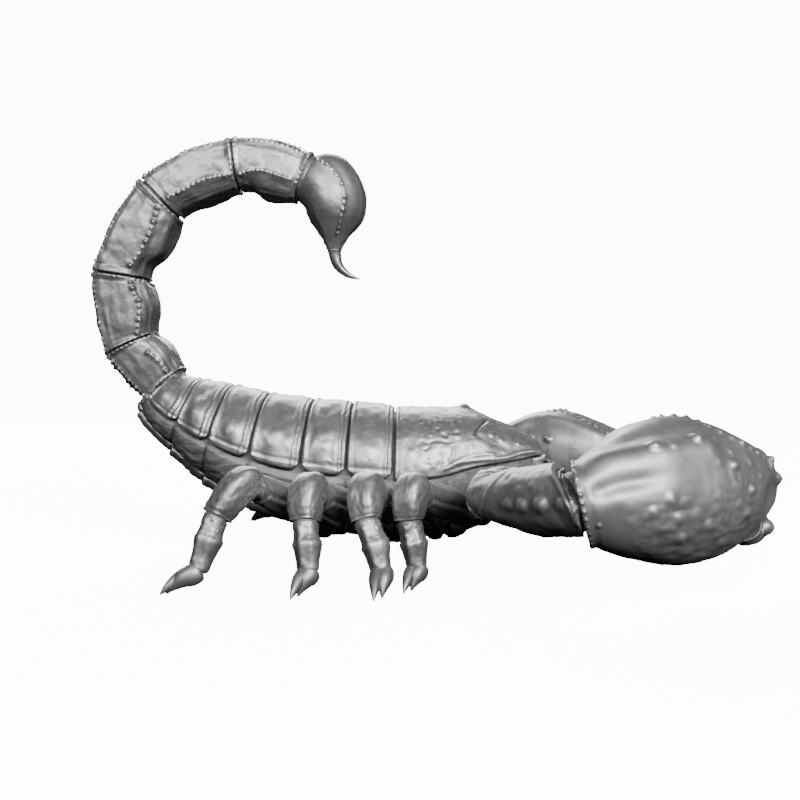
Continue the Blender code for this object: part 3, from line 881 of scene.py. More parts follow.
@dataclass(frozen=True)
class BodyForm:
    """The body as a row of stations from the tail's root (0) to the head's front margin (12)."""

    stations: tuple[Station, ...] = (
        Station(-30.2, 25.1, 55.0, 6.7, 3.9, 0.50),
        Station(-30.9, 24.5, 43.0, 7.6, 5.2, 0.56),
        Station(-27.2, 23.9, 21.0, 11.1, 8.0, 0.58),
        Station(-22.9, 23.1, 15.0, 14.2, 10.0, 0.55),
        Station(-17.9, 22.0, 10.0, 16.0, 11.2, 0.54),
        Station(-11.8, 21.2, 6.0, 17.5, 11.6, 0.53),
        Station(-6.4, 20.8, 3.0, 18.2, 11.4, 0.52),
        Station(-0.6, 20.2, 1.5, 18.1, 10.9, 0.52),
        Station(4.8, 20.0, 0.0, 17.6, 10.3, 0.51),
        Station(9.6, 19.6, 0.0, 16.4, 9.4, 0.45),
        Station(13.2, 18.4, 0.0, 13.7, 8.2, 0.41),
        Station(16.4, 17.0, 0.0, 11.0, 7.0, 0.34),
        Station(19.4, 15.2, 0.0, 7.4, 5.8, 0.20),
    )
    back_roundness: float = 2.25
    belly_roundness: float = 2.3

    def point(self, station: Array, degrees: Array, inset: Array | float = 0.0) -> Array:
        """Find points round the body's sections.

        Args:
            station: how far along the body.
            degrees: 90 on the back, -90 on the belly, 0 at the left plate edge.
            inset: how far inside the surface.

        Returns:
            The points.
        """
        share = np.asarray(station, float) / (len(self.stations) - 1)
        table = np.array([list(vars(each).values()) for each in self.stations])
        top_x, top_z, lean, depth, half_width, edge = np.moveaxis(curve(table, share), -1, 0)
        lean, turn = np.radians(lean), np.radians(degrees)
        down = np.stack([-np.sin(lean), np.zeros_like(lean), -np.cos(lean)], axis=-1)
        upper = np.sin(turn) >= -1e-6
        power = np.where(upper, self.back_roundness, self.belly_roundness)
        half_height = depth * np.where(upper, edge, 1.0 - edge) - inset
        rise = flattened(np.sin(turn), power) * half_height
        sideways = flattened(np.cos(turn), power) * (half_width - inset)
        top = np.stack([top_x, np.zeros_like(top_x), top_z], axis=-1)
        middle = top + down * (depth * edge)[..., None]
        return middle - down * rise[..., None] + LEFT * sideways[..., None]

    def path(self, knots: Knots, inset: float = 0.0) -> Array:
        """A line on the body, from knots of (station, degrees)."""
        at = curve(knots, np.linspace(0.0, 1.0, LINE_SAMPLES))
        return self.point(at[:, 0], at[:, 1], inset)

    def spots(self, places: Knots) -> Array:
        """Points on the body, from (station, degrees)."""
        at = np.asarray(places, float)
        return self.point(at[:, 0], at[:, 1])

    def joint(self, station: float, degrees_below: float, inset: float) -> Joint:
        """Where a limb leaves the body: a plane that touches the body's surface there."""
        turn = -degrees_below
        here = self.point(np.array((station,) * 3), np.array((turn, turn + 1.0, turn - 1.0)), inset)
        ahead = self.point(np.array((station + 0.1, station - 0.1)), np.array((turn, turn)), inset)
        normal = unit(np.cross(here[1] - here[2], ahead[0] - ahead[1]))
        normal = normal if normal[1] > 0.0 else -normal
        return Joint(here[0] + normal * CLEARANCE, normal)


@dataclass
class SoftBody:
    """The soft trunk and the block of leg bases, as one skin under the plates."""

    form: BodyForm
    plate: float = 0.8
    flank_inset: float = 0.8
    belly_inset: float = 1.1
    belly_edge: float = 49.0            # degrees below the plate edge where the belly plates start
    step_share: float = 0.042
    columns: int = 340
    coxa_point: tuple[float, float, float] = (-0.6, 0.0, 15.0)
    coxa_lean: float = 38.0
    hips: Knots = ((6.0, -38.0), (7.0, -38.0), (7.85, -38.0), (9.0, -38.0))
    root_station: float = 10.4          # where the arms leave the body
    first_station: float = 0.02
    last_station: float = 11.8
    brow_station: float = 10.9          # ahead of it only the roof over the jaws goes on

    def build(self, shop: Workshop, tail_root: Joint) -> None:
        """Make the skin that stands for the trunk and the leg bases."""
        rows = np.arange(self.first_station, self.last_station + self.step_share, self.step_share)
        degrees = signed_degrees(even_angles(self.columns, self.form.back_roundness))
        station, turn = np.broadcast_arrays(rows[:, None], degrees[None, :])
        lean = math.radians(self.coxa_lean)
        coxa = Joint(np.array(self.coxa_point), np.array((math.cos(lean), 0.0, -math.sin(lean))))
        ahead = smoothstep(-0.8, 0.8, coxa.depth(self.form.point(station, turn)))
        folded = np.abs(np.where(turn < -90.0, -180.0 - turn, turn))
        under = smoothstep(self.belly_edge - 6.0, self.belly_edge + 2.0, folded) * (turn < 0.0)
        inset = self.flank_inset + (self.belly_inset - self.flank_inset) * under
        inset = inset * (1.0 - under * ahead)
        inset = np.where(turn >= -1e-6, self.plate, inset)
        inset = inset * (0.1 + 0.9 * smoothstep(0.0, 0.9, station))
        brow = np.maximum(station - self.brow_station, 0.0) * (turn < 0.0)
        inset = inset + brow * (0.3 + 6.0 * np.sin(np.radians(folded)) ** 2)
        inset = neighbour_mean(inset, True, 4)
        skin = Skin(self.form.point(station, turn, inset), True)
        flank = smoothstep(0.0, 7.0, folded) * (turn < 0.0) * (1.0 - ahead)
        self.fold_flanks(skin, station, flank)
        self.shape_leg_bases(skin, ahead * (turn < 0.0))
        past = np.maximum(tail_root.depth(skin.points) + CLEARANCE, 0.0)
        skin.points = skin.points - tail_root.normal * past[..., None]
        shop.show("soft_body", [skin], Look.HIDE, "trunk", "leg_bases")

    def fold_flanks(self, skin: Skin, station: Array, flank: Array) -> None:
        """Lay lengthwise folds on the flanks, gathered between the body's rings."""
        between = np.abs(np.sin(np.pi * station)) ** 0.4
        drift = lattice_noise(skin.points / (3.0, 2.2, 2.2), 3)
        up = skin.points[..., 2]
        waves = np.sin(math.tau * (up / 1.35 + 0.8 * drift))
        fine = np.sin(math.tau * (up / 0.52 + 1.2 * drift))
        skin.height += flank * (0.5 * between - 0.1 + between * (0.045 * waves + 0.022 * fine))
        skin.wrinkle((4.0, 0.7, 0.7), 0.08, flank, 5, 2)
        # Painted light and shade that follow the folds: paler where they swell between the rings, darker
        # where they sink at the rings.
        skin.tone += flank * (0.2 * between - 0.1)

    def shape_leg_bases(self, skin: Skin, ahead: Array) -> None:
        """Raise a rounded coxa to each hip, with grooves and small folds between them."""
        keep = skin.height.copy()
        for number, (station, turn) in enumerate(self.hips):
            coxa = ((station, turn + 12.0), (7.2 + 0.42 * number, -84.0))
            ahead_of_it = self.hips[number + 1][0] if number + 1 < len(self.hips) else self.root_station
            groove = (((station + ahead_of_it) / 2.0, -12.0), (7.4 + 0.42 * number, -86.0))
            skin.strokes(self.form, ((coxa, 1.15, 0.75, 0.0), (groove, 0.32, -0.6, 0.0)), True)
        skin.wrinkle((0.5, 1.6, 0.9), 0.07, 1.0, 21, 2)
        skin.height = keep + (skin.height - keep) * ahead


@dataclass
class BackPlates:
    """The six overlapping plates of the back."""

    form: BodyForm
    head_station: int = 7
    gap: float = 0.018
    thickness: float = 0.8
    rows: int = 45
    columns: int = 174
    lift: Sizes = (0.12, 0.05, 0.1, 0.0)    # from the rear edge to the front edge
    corner: float = 1.3                     # radius of the lower corners
    edge: float = 0.3                       # how far the edges are rounded off
    degree_length: float = 0.19             # length of one degree round the back
    sample_row: int = 10                    # a row whose degrees stand for all rows

    def build(self, shop: Workshop) -> None:
        """Make every plate."""
        for number in range(1, self.head_station):
            top, below = self.plate(self.head_station - number, number)
            shop.slab(f"back_plate_{number}", top, below, f"tergite_{number}")

    def plate(self, rear: int, seed: int) -> tuple[Skin, Array]:
        """Shape one plate.

        Args:
            rear: the station of its rear edge.
            seed: which random dents it has.

        Returns:
            Its upper surface, and the points of its lower one.
        """
        along = edge_spacing(self.rows)
        station = rear + self.gap + along * (1.0 - 2.0 * self.gap)
        top = self.form.point(station, np.full_like(station, 45.0))
        length = float(np.linalg.norm(np.diff(top, axis=0), axis=1).sum())
        from_end = np.minimum(along, 1.0 - along) * length
        short = np.maximum(self.corner - from_end, 0.0)
        retreat = self.corner - np.sqrt(np.maximum(self.corner**2 - short**2, 0.0))
        low = retreat / self.degree_length
        across = edge_spacing(self.columns)
        station, across = np.broadcast_arrays(station[:, None], across[None, :])
        turn = low[:, None] + across * (180.0 - 2.0 * low[:, None])
        raised = curve(self.lift, along)[:, None]
        skin = Skin(self.form.point(station, turn, -raised), False)
        below = self.form.point(station, turn, self.thickness)
        self.relief(skin, along[:, None] * length, length, turn, seed)
        from_side = (np.minimum(turn, 180.0 - turn) - low[:, None]) * self.degree_length
        round_off(skin, along[:, None] * length, length, from_side, self.edge)
        return skin, below

    def relief(self, skin: Skin, distance: Array, length: float, turn: Array, seed: int) -> None:
        """Shape one plate's rims, front band and dents.

        Args:
            skin: the plate's upper surface.
            distance: how far each row lies from the rear edge.
            length: the plate's length.
            turn: degrees round the body of each point.
            seed: which random dents.
        """
        ahead = length - distance
        waver = 0.18 * lattice_noise(skin.points / 1.6, seed + 50)
        waver += 0.08 * lattice_noise(skin.points / 0.6, seed)
        side = np.minimum(turn, 180.0 - turn)
        rim = (side - 3.2) * self.degree_length + waver * 0.6
        bands = (
            (ahead + waver, ((0.22, 0.15, 0.05), (0.52, 0.15, -0.10), (0.84, 0.16, 0.06),
                             (1.15, 0.2, -0.06))),
            (ahead, ((0.0, 0.3, -0.18),)),
            (distance + waver, ((0.30, 0.2, 0.08), (0.75, 0.25, -0.05))),
            (rim, ((0.0, 0.18, 0.05), (0.45, 0.3, -0.06))),
        )
        for across, rows in bands:
            for at, width, height in rows:
                skin.height += height * bell(across, at, width)
        skin.tone += 0.25 * bell(distance, 0.2, 0.25)
        drift = 0.10 * lattice_noise(skin.points / 4.0, seed + 60)
        middle = bell(distance / length + drift, 0.45, 0.24)
        for at, width, height in ((22.0, 11.0, 0.44), (46.0, 14.0, -0.16), (70.0, 14.0, 0.12)):
            skin.height += height * middle * bell(side, at, width)
        inner = smoothstep(0.5, 1.5, distance) * smoothstep(1.1, 2.0, ahead)
        skin.wrinkle((2.2, 2.6, 2.6), 0.2, inner, seed * 7, 2)
        skin.wrinkle((0.8, 1.0, 1.0), 0.025, inner, seed * 7 + 3, 2)
        for at, spacing, radius, height in ((0.24, 0.46, 0.16, 0.06), (length - 0.80, 0.6, 0.17, 0.06)):
            row = int(np.abs(distance[:, 0] - at).argmin())
            skin.bead_row(skin.points[row], spacing, radius, height, seed)
        grains = []
        for along, at in scattered(26, (1.6, 8.0), (length - 1.8, 172.0), seed + 90):
            row = int(np.abs(distance[:, 0] - along).argmin())
            grains.append(skin.points[row, int(np.abs(turn[self.sample_row] - at).argmin())])
        skin.beads(np.array(grains), 0.22, 0.05)


def edge_spacing(count: int) -> Array:
    """Shares from 0 to 1 that lie closer together near both ends."""
    even = np.linspace(0.0, 1.0, count)
    return even - 0.055 * np.sin(math.tau * even)


def round_off(skin: Skin, distance: Array, length: float, from_side: Array, radius: float) -> None:
    """Round a plate's upper edges down, by its distance from the rear edge and from the nearer side."""
    nearest = np.minimum(np.minimum(distance, length - distance), from_side)
    short = np.clip(radius - nearest, 0.0, radius)
    skin.height -= (radius - np.sqrt(np.maximum(radius**2 - short**2, 0.0))) * 0.9


@dataclass
class HeadShield:
    """The head shield with its eye hill, median eyes and side eyes."""

    form: BodyForm
    hill: EyeHill
    first_station: float = 7.02
    last_station: float = 11.88
    thickness: float = 1.0
    rows: int = 148
    columns: int = 202
    edge: float = 0.32
    degree_length: float = 0.17         # length of one degree round the shield
    side_eyes: Knots = ((9.67, 36.3), (10.08, 29.8), (10.75, 29.1))
    side_eye_radii: Sizes = (0.42, 0.26, 0.3)
    grooves: tuple = (                  # rows of knots, width, height, fade
        (((9.58, 64.0), (9.36, 51.0), (9.12, 40.0), (9.02, 31.0)), 0.19, -0.26, 0.12),
        (((9.02, 33.0), (9.45, 27.0), (10.1, 19.0), (10.8, 16.0)), 0.6, -0.12, 0.12),
        (((7.6, 30.0), (7.75, 27.0), (7.8, 24.0), (7.66, 20.5)), 0.24, -0.10, 0.12),
        (((7.78, 27.0), (8.0, 29.0), (8.3, 26.5)), 0.26, -0.10, 0.12),
        (((7.8, 14.0), (7.72, 11.0), (7.82, 8.0)), 0.28, -0.07, 0.12),
        (((8.05, 18.0), (8.1, 12.0), (8.0, 7.0)), 0.30, -0.07, 0.12),
        (((8.45, 24.0), (8.4, 15.0), (8.3, 8.0)), 0.3, -0.12, 0.12),
        (((7.1, 90.0), (8.0, 90.0), (8.7, 90.0)), 0.2, -0.14, 0.12),
        (((9.3, 90.0), (10.5, 90.0), (11.8, 90.0)), 0.3, -0.16, 0.12),
    )
    lips: tuple = (                     # the same, and tone
        (((8.0, 3.0), (8.5, 6.5), (9.2, 5.5), (10.2, 5.0), (10.9, 10.0), (11.9, 12.0)), 0.3, 0.2,
         0.12, 0.2),
        (((8.3, 8.0), (9.0, 10.0), (9.8, 9.5)), 0.3, 0.14, 0.12, 0.2),
        (((9.6, 70.0), (10.3, 62.0), (11.2, 50.0), (11.7, 36.0)), 0.5, 0.09, 0.12, 0.2),
    )
    grains: tuple = (                   # rows of count, place from and to, size from and to, seed
        (46, (7.55, 27.0), (8.75, 52.0), (0.22, -0.14), (0.5, 0.13), 5),
        (90, (7.3, 18.0), (11.7, 88.0), (0.14, 0.01), (0.34, 0.035), 15),
    )

    def build(self, shop: Workshop) -> None:
        """Make the shield and its eyes."""
        along = edge_spacing(self.rows)
        station = self.first_station + along * (self.last_station - self.first_station)
        across = edge_spacing(self.columns)
        station, across = np.broadcast_arrays(station[:, None], across[None, :])
        turn = across * 180.0
        points = self.form.point(station, turn)
        points[..., 2] += self.hill_rise(points)
        skin = Skin(points, False)
        below = self.form.point(station, turn, self.thickness)
        below[..., 2] += self.hill_rise(below)
        steps = np.linalg.norm(np.diff(points[:, self.columns // 4], axis=0), axis=1)
        distance = np.concatenate([[0.0], np.cumsum(steps)])[:, None]
        self.relief(skin, distance, turn)
        side = np.minimum(turn, 180.0 - turn) * self.degree_length
        round_off(skin, distance, float(distance[-1, 0]), side, self.edge)
        shop.slab("head_shield", skin, below, "carapace")
        self.eyes(shop)

    def hill_rise(self, points: Array) -> Array:
        """How far the eye hill lifts points."""
        ahead = (points[..., 0] - self.hill.x) / self.hill.length
        return self.hill.height * np.exp(-(ahead**2) - (points[..., 1] / self.hill.width) ** 2)

    def relief(self, skin: Skin, distance: Array, turn: Array) -> None:
        """Shape the shield's rims, furrows, muscle scars and granules.

        Args:
            skin: the upper surface.
            distance: how far each row lies from the rear edge.
            turn: degrees round the body of each point.
        """
        waver = 0.12 * lattice_noise(skin.points / 1.5, 77)
        for at, width, height in ((0.25, 0.12, 0.06), (0.5, 0.13, -0.08)):
            skin.height += height * bell(distance + waver, at, width)
        skin.strokes(self.form, self.grooves, True)
        skin.strokes(self.form, self.lips, True)
        for count, low, high, small, large, seed in self.grains:
            centres = self.form.spots(scattered(count, low, high, seed))
            size = scattered(count, small, large, seed + 1)
            for side in both_sides(centres):
                skin.beads(side, size[:, 0], size[:, 1])
        for side in both_sides(self.form.spots(scattered(16, (7.25, 84.0), (9.0, 92.0), 17))):
            skin.beads(side, 0.26, 0.13)
        skin.wrinkle(2.6, 0.12, smoothstep(0.8, 2.0, distance), 31)
        skin.wrinkle(0.8, 0.03, 1.0, 37, 2)
        radii = np.array(self.side_eye_radii)
        for side in both_sides(self.form.spots(self.side_eyes)):
            skin.beads(side, radii * 1.6, radii * 0.42)
        skin.tone += 0.25 * bell(np.minimum(turn, 180.0 - turn), 0.0, 3.0)
        hill = np.array(((self.hill.x - 0.05, self.hill.eye_offset - 0.3, self.hill.eye_z + 0.1),))
        for side in both_sides(hill):
            skin.beads(side, 1.05, 0.28)

    def eyes(self, shop: Workshop) -> None:
        """Make the two median eyes and the three small eyes on each side."""
        for side in Side:
            hill = np.array((self.hill.x, self.hill.eye_offset - 0.04, self.hill.eye_z - 0.56))
            name = f"median_eye_{side.word}"
            mesh = eye_mesh(name, hill, self.hill.eye_radius, shop.place, side)
            shop.add(name, mesh, Look.EYE, f"eye_{side.word}")
            name = f"side_eyes_{side.word}"
            small = []
            for spot, radius in zip(self.form.spots(self.side_eyes), self.side_eye_radii):
                centre = spot + self.outward(spot) * radius * 0.25
                small.append(eye_mesh(name, centre, radius * 0.62, shop.place, side))
            shop.add(name, joined(name, small), Look.EYE)

    @staticmethod
    def outward(spot: Array) -> Array:
        """Roughly away from the body's middle at a spot on its left side."""
        return unit(np.array((0.15, spot[1], spot[2] - 12.0)))


def eye_mesh(name: str, centre: Array, radius: float, place: Placement, side: Side) -> bpy.types.Mesh:
    """A round eye about a centre given for the left side."""
    shape = bmesh.new()
    bmesh.ops.create_uvsphere(shape, u_segments=32, v_segments=20, radius=radius)
    flat = coordinates(shape.verts) + centre
    return mesh_from(name, place.metres(flat, side), side is Side.RIGHT, shape, {})


@dataclass
class BellyPlates:
    """The stepped plates of the belly with their breathing slits, and the combs behind them."""

    form: BodyForm
    lines: Sizes = (0.45, 1.0, 2.0, 3.0, 4.0, 5.0)
    span: Pair = (-128.0, -52.0)
    step: float = 0.25
    step_share: float = 0.85
    thickness: float = 0.8
    rows: int = 156
    columns: int = 122
    edge: float = 0.5
    degree_length: float = 0.16         # length of one degree round the belly
    slit_share: float = 0.5
    slit_turn: float = -66.0
    comb_reach: Pair = (5.35, 5.8)
    comb_span: Pair = (-80.0, -54.0)
    comb_drop: float = 0.85
    comb_teeth: int = 16

    def build(self, shop: Workshop) -> None:
        """Make the belly's shell and both combs."""
        station = np.linspace(self.lines[0], self.lines[-1], self.rows)
        turn = self.span[0] + edge_spacing(self.columns) * (self.span[1] - self.span[0])
        station, turn = np.broadcast_arrays(station[:, None], turn[None, :])
        skin = Skin(self.form.point(station, turn), False)
        lift = np.zeros(self.rows)
        for rear, front in zip(self.lines, self.lines[1:]):
            share = (station[:, 0] - rear) / (front - rear)
            slope = np.clip(1.0 - share / self.step_share, 0.0, 1.0)
            lift = np.where((share >= 0.0) & (share <= 1.0), self.step * slope**0.7, lift)
        skin.height += lift[:, None]
        for rear in self.lines[1:-1]:
            lip, gap = (tuple((at, turn_end) for turn_end in self.span) for at in (rear + 0.05, rear - 0.03))
            skin.strokes(self.form, ((lip, 0.3, 0.12, 0.0), (gap, 0.2, -0.2, 0.0)))
            at = rear + self.slit_share
            slit = ((at, self.slit_turn - 4.0), (at + 0.06, self.slit_turn + 4.0))
            skin.strokes(self.form, ((slit, 0.22, -0.3, 0.1), (slit, 0.6, 0.1, 0.1)), True)
        skin.wrinkle(2.2, 0.12, 1.0, 41)
        skin.wrinkle(0.6, 0.02, 1.0, 43, 2)
        edge = np.minimum(turn - self.span[0], self.span[1] - turn) * self.degree_length
        far = 10.0 * self.edge
        round_off(skin, np.full_like(edge, far), 2.0 * far, edge, self.edge)
        # The side edges dip, and painted shade darkens them so their rounded edge shows no pale line.
        skin.height -= 0.4 * bell(edge, 0.0, 0.8)
        skin.tone -= 1.2 * bell(edge, 0.0, 1.2)
        shop.slab("belly_plates", skin, self.form.point(station, turn, self.thickness), "sternites")
        skins = [part.skin() for part in self.comb()]
        for side in Side:
            shop.show(f"comb_{side.word}", skins, Look.LIMB, f"pectine_{side.word}", side=side)

    def comb(self) -> list[Limb]:
        """The parts of one comb: a jointed spine with a row of teeth along its rear edge."""
        turns = np.linspace(*self.comb_span, 5)
        inner, outer = self.comb_reach
        spine = self.form.point(np.full_like(turns, outer - 0.12), turns, -self.comb_drop * 0.5)
        spine[:, 0] -= 0.25 * np.abs(spine[:, 1])
        parts = [Limb(spine, (0.7, 0.85, 0.8, 0.7, 0.5), (0.42, 0.5, 0.48, 0.42, 0.3), step=0.12)]
        for share in np.linspace(0.06, 0.96, self.comb_teeth):
            root = curve(spine, np.array(share))
            tip = root + np.array((-(outer - inner) * 5.0, 0.0, -0.05))
            tooth = np.stack([root, (root + tip) / 2.0 - UP * 0.1, tip])
            parts.append(Limb(tooth, (0.26, 0.27, 0.2), (0.24, 0.26, 0.18), rims=(0.1, 0.15), step=0.16,
                              hollows=(0.0, 0.0)))
        return parts


@dataclass
class Jaws:
    """The pair of jaws under the head's front margin, each with a fixed and a moving finger."""

    line: Knots = ((16.4, 2.8, 12.1), (17.8, 2.9, 12.6), (19.2, 2.6, 12.5), (20.1, 2.1, 11.4))
    half_height: Sizes = (1.5, 1.8, 1.6, 0.5)
    half_width: Sizes = (2.1, 2.45, 2.0, 0.5)

    def build(self, shop: Workshop) -> None:
        """Make both jaws."""
        line = np.array(self.line)
        hand = Limb(line, self.half_width, self.half_height, Joint(line[0], FORWARD), rims=(0.3, 0.3),
                    step=0.09)
        skin = hand.skin()
        skin.bead_row(hand.path(((0.25, 80.0), (0.6, 70.0), (0.85, 75.0))), 0.55, 0.22, 0.14, 3)
        skin.beads(hand.spots(((0.55, 30.0), (0.4, 60.0), (0.7, 10.0))), 0.38, 0.3)
        skin.strokes(hand, ((((0.55, 0.0), (0.75, -5.0), (0.98, 0.0)), 0.2, -0.3),
                            (((0.1, 20.0), (0.5, 15.0), (0.9, 25.0)), 0.3, 0.12)))
        skin.wrinkle(0.8, 0.06, 1.0, 61)
        fingers = []
        for drop, bend in ((0.1, 0.35), (-0.75, -0.1)):
            root = line[2] + np.array((0.1, 0.35, drop - 0.2))
            tip = root + np.array((1.15, -0.75, bend - 0.9))
            middle = (root + tip) / 2.0 + np.array((0.3, 0.25, 0.1))
            fingers.append(Limb(np.stack([root, middle, tip]), (0.55, 0.4, 0.1), (0.5, 0.38, 0.1),
                                rims=(0.1, 0.05), step=0.09, hollows=(0.0, 0.0)))
        tips = [finger.skin() for finger in fingers]
        for side in Side:
            shop.show(f"jaw_{side.word}", [skin], Look.LIMB, f"chelicera_{side.word}", side=side)
            shop.show(f"jaw_fingers_{side.word}", tips, Look.STING, side=side)


# Tail.

@dataclass(frozen=True)
class TailKeels:
    """Where one tail segment's side keel runs, and how coarse its beads are."""

    side: Knots
    spacing: float
    radius: float
    height: float


@dataclass
class Tail:
    """Five boxy segments with beaded keels, the skins of their joints, and the venom bulb."""

    joints: Knots = ((-32.6, 23.1), (-37.3, 28.5), (-38.8, 38.1), (-33.3, 49.1), (-22.7, 53.8), (-13.2, 52.0))
    half_height: Sizes = (3.4, 3.6, 3.75, 3.6, 3.55, 3.45)
    bulge: Knots = ((0.4, 0.6), (0.5, 0.5), (0.8, 0.35), (0.9, -0.35), (0.8, 0.2))
    waist: Sizes = (0.15, 0.35, 0.95, 0.3, 0.6)
    half_width: Sizes = (3.7, 4.1, 4.3, 4.3, 4.1, 3.6)
    roundness: float = 2.7
    trunk_end: Pair = (-29.6, 19.6)
    keels: tuple[TailKeels, ...] = (
        TailKeels(((0.66, -15.0), (0.43, -20.0), (0.22, -24.0), (0.06, -22.0)), 0.95, 0.38, 0.32),
        TailKeels(((0.95, -25.0), (0.77, -27.0), (0.59, -33.0), (0.42, -31.0), (0.2, -28.0), (0.04, -22.0)),
                  0.88, 0.36, 0.34),
        TailKeels(((0.93, -15.0), (0.78, -20.0), (0.62, -24.0), (0.45, -25.0), (0.27, -24.0), (0.1, -17.0)),
                  0.98, 0.40, 0.36),
        TailKeels(((0.05, -20.0), (0.35, -22.0), (0.65, -20.0), (0.97, -28.0)), 0.72, 0.29, 0.26),
        TailKeels(((0.05, -30.0), (0.25, -16.0), (0.45, -12.0), (0.65, -14.0), (0.92, -17.0)),
                  0.58, 0.25, 0.22),
    )
    bulb_aim: Pair = (-11.2, 50.5)
    bulb_line: Knots = ((-13.2, 52.0), (-11.88, 51.3), (-10.68, 50.1), (-9.48, 48.0), (-9.0, 45.9),
                        (-8.95, 44.0), (-9.15, 41.95))
    bulb_half_height: Sizes = (3.35, 4.5, 5.3, 5.2, 4.0, 1.85, 0.95)
    bulb_half_depth: Sizes = (3.3, 3.55, 3.75, 3.7, 3.3, 2.4, 1.05)
    bulb_half_width: Sizes = (3.2, 3.9, 4.3, 4.5, 3.8, 2.1, 1.0)
    bulb_keel: Knots = ((0.07, 40.0), (0.16, 34.0), (0.27, 29.0), (0.38, 27.0), (0.5, 25.0), (0.667, 15.0),
                        (0.86, 10.0))
    bulb_lower_keel: Knots = ((0.3, -64.0), (0.5, -70.0), (0.75, -74.0), (0.95, -72.0))
    sting_line: Knots = ((-8.75, 40.0), (-7.4, 38.6), (-5.6, 37.9))
    sting_half: Sizes = (0.74, 0.46, 0.1)

    @staticmethod
    def middle(places: Knots) -> Array:
        """Places in the middle plane, from (x, z)."""
        at = np.asarray(places, float)
        return np.stack([at[:, 0], np.zeros(len(at)), at[:, 1]], axis=1)

    def planes(self) -> list[Joint]:
        """The tail's joints, from its root to the venom bulb."""
        line = self.middle((self.trunk_end, *self.joints, self.bulb_aim))
        return [Joint.between(*line[index:index + 3]) for index in range(len(self.joints))]

    def build(self, shop: Workshop) -> None:
        """Make every segment, the joints' skins, the bulb and the sting."""
        planes = self.planes()
        for index in range(len(planes) - 1):
            segment = self.segment(index, planes[index], planes[index + 1])
            skin = segment.skin()
            self.relief(index, segment, skin)
            shop.show(f"tail_segment_{index + 1}", [skin], Look.PLATE, f"tail_{index + 1}")
        folds = [self.joint_skin(plane, width, height) for plane, width, height
                 in zip(planes, self.half_width, self.half_height)]
        shop.show("tail_joint_skins", folds, Look.HIDE)
        self.bulb(planes[-1], shop)

    def segment(self, index: int, start: Joint, end: Joint) -> Limb:
        """The smooth form of one segment."""
        outward = np.cross(unit(end.point - start.point), LEFT)
        bulge_out, bulge_in = self.bulge[index]
        centre = (start.point + end.point) / 2.0 + outward * (bulge_out - bulge_in) / 2.0
        first, last = self.half_height[index:index + 2]
        wide = self.half_width[index:index + 2]
        waist = (first + last + bulge_out + bulge_in) / 2.0
        return Limb(np.stack([start.point, centre, end.point]), (wide[0], sum(wide) / 2.0 + 0.2, wide[1]),
                    (first, waist, last), start, end, LEFT, self.roundness, rims=(0.25, 0.25), step=0.115)

    def relief(self, index: int, segment: Limb, skin: Skin) -> None:
        """Shape one segment's keels, panels, end rims and streaks.

        Args:
            index: the segment's number, from 0 at the root.
            segment: its smooth form.
            skin: its surface.
        """
        share, angle = segment.grid_share, segment.grid_angle
        rise = np.degrees(np.arcsin(np.clip(np.sin(angle), -1.0, 1.0)))
        keels = self.keels[index]
        body = smoothstep(0.02, 0.12, share) * smoothstep(0.02, 0.12, 1.0 - share)
        skin.height -= self.waist[index] * bell(share, 0.19, 0.16) * smoothstep(10.0, 60.0, -rise)
        skin.height -= 0.24 * body * bell(rise, 10.0, 17.0)
        skin.height += 0.2 * body * bell(rise, -52.0, 24.0) * smoothstep(0.1, 0.6, share)
        skin.height -= 0.12 * body * bell(rise, 72.0, 14.0)
        outer = ((0.03, 46.0), (0.3, 42.0), (0.7, 42.0), (0.97, 46.0))
        crest = ((0.04, 89.0), (0.5, 89.0), (0.96, 89.0))
        lower = ((0.05, -66.0), (0.5, -62.0), (0.95, -66.0))
        skin.strokes(segment, ((keels.side, 0.42, 0.16, 0.05), (outer, 0.40, 0.16, 0.03),
                               (lower, 0.6, 0.12, 0.05)), True)
        skin.strokes(segment, ((crest, 0.45, 0.16, 0.03),))
        skin.bead_row(segment.path(crest), 0.85, 0.3, 0.26, index + 20)
        rows = ((keels.side, keels.spacing, keels.radius, keels.height, index),
                (outer, 0.7, 0.27, 0.23, index + 10))
        for knots, *sizes in rows:
            for line in both_sides(segment.path(knots)):
                skin.bead_row(line, *sizes)
        for at, inward, beads in ((0.03, 0.055, 0.05), (0.965, -0.055, 0.12)):
            skin.rings(segment, ((at, 0.16, 0.04, 0.1), (at + inward, 0.2, -0.05)))
            skin.bead_row(segment.ring(at), 0.7, 0.22, beads, index + 30)
        corners = [(0.965, turn) for turn in (46.0, 134.0, -62.0, -118.0)]
        skin.beads(segment.spots(corners + [(0.03, 46.0), (0.03, 134.0)]), 0.6, 0.14)
        along = curve(segment.line, share)
        drawn_out = (rise / 14.0, along[..., 2] / 6.0 + along[..., 0] / 6.0, skin.points[..., 1] * 0.05)
        streaks = body * fractal_noise(np.stack(drawn_out, axis=-1), 2, index + 3)
        skin.height += 0.09 * streaks
        skin.wrinkle(2.6, 0.15, body, index, 2)
        skin.wrinkle(0.7, 0.03, body, index + 7, 2)
        skin.tone += 0.10 * streaks

    def joint_skin(self, plane: Joint, width: float, height: float) -> Skin:
        """The folded skin inside one joint."""
        line = np.stack([plane.point + plane.normal * offset for offset in (-0.8, 0.0, 0.8)])
        sleeve = Limb(line, (width * 0.86,) * 3, (height * 0.86,) * 3, across=LEFT, roundness=self.roundness,
                      step=0.14)
        return folded(sleeve, 4.0, 0.06)

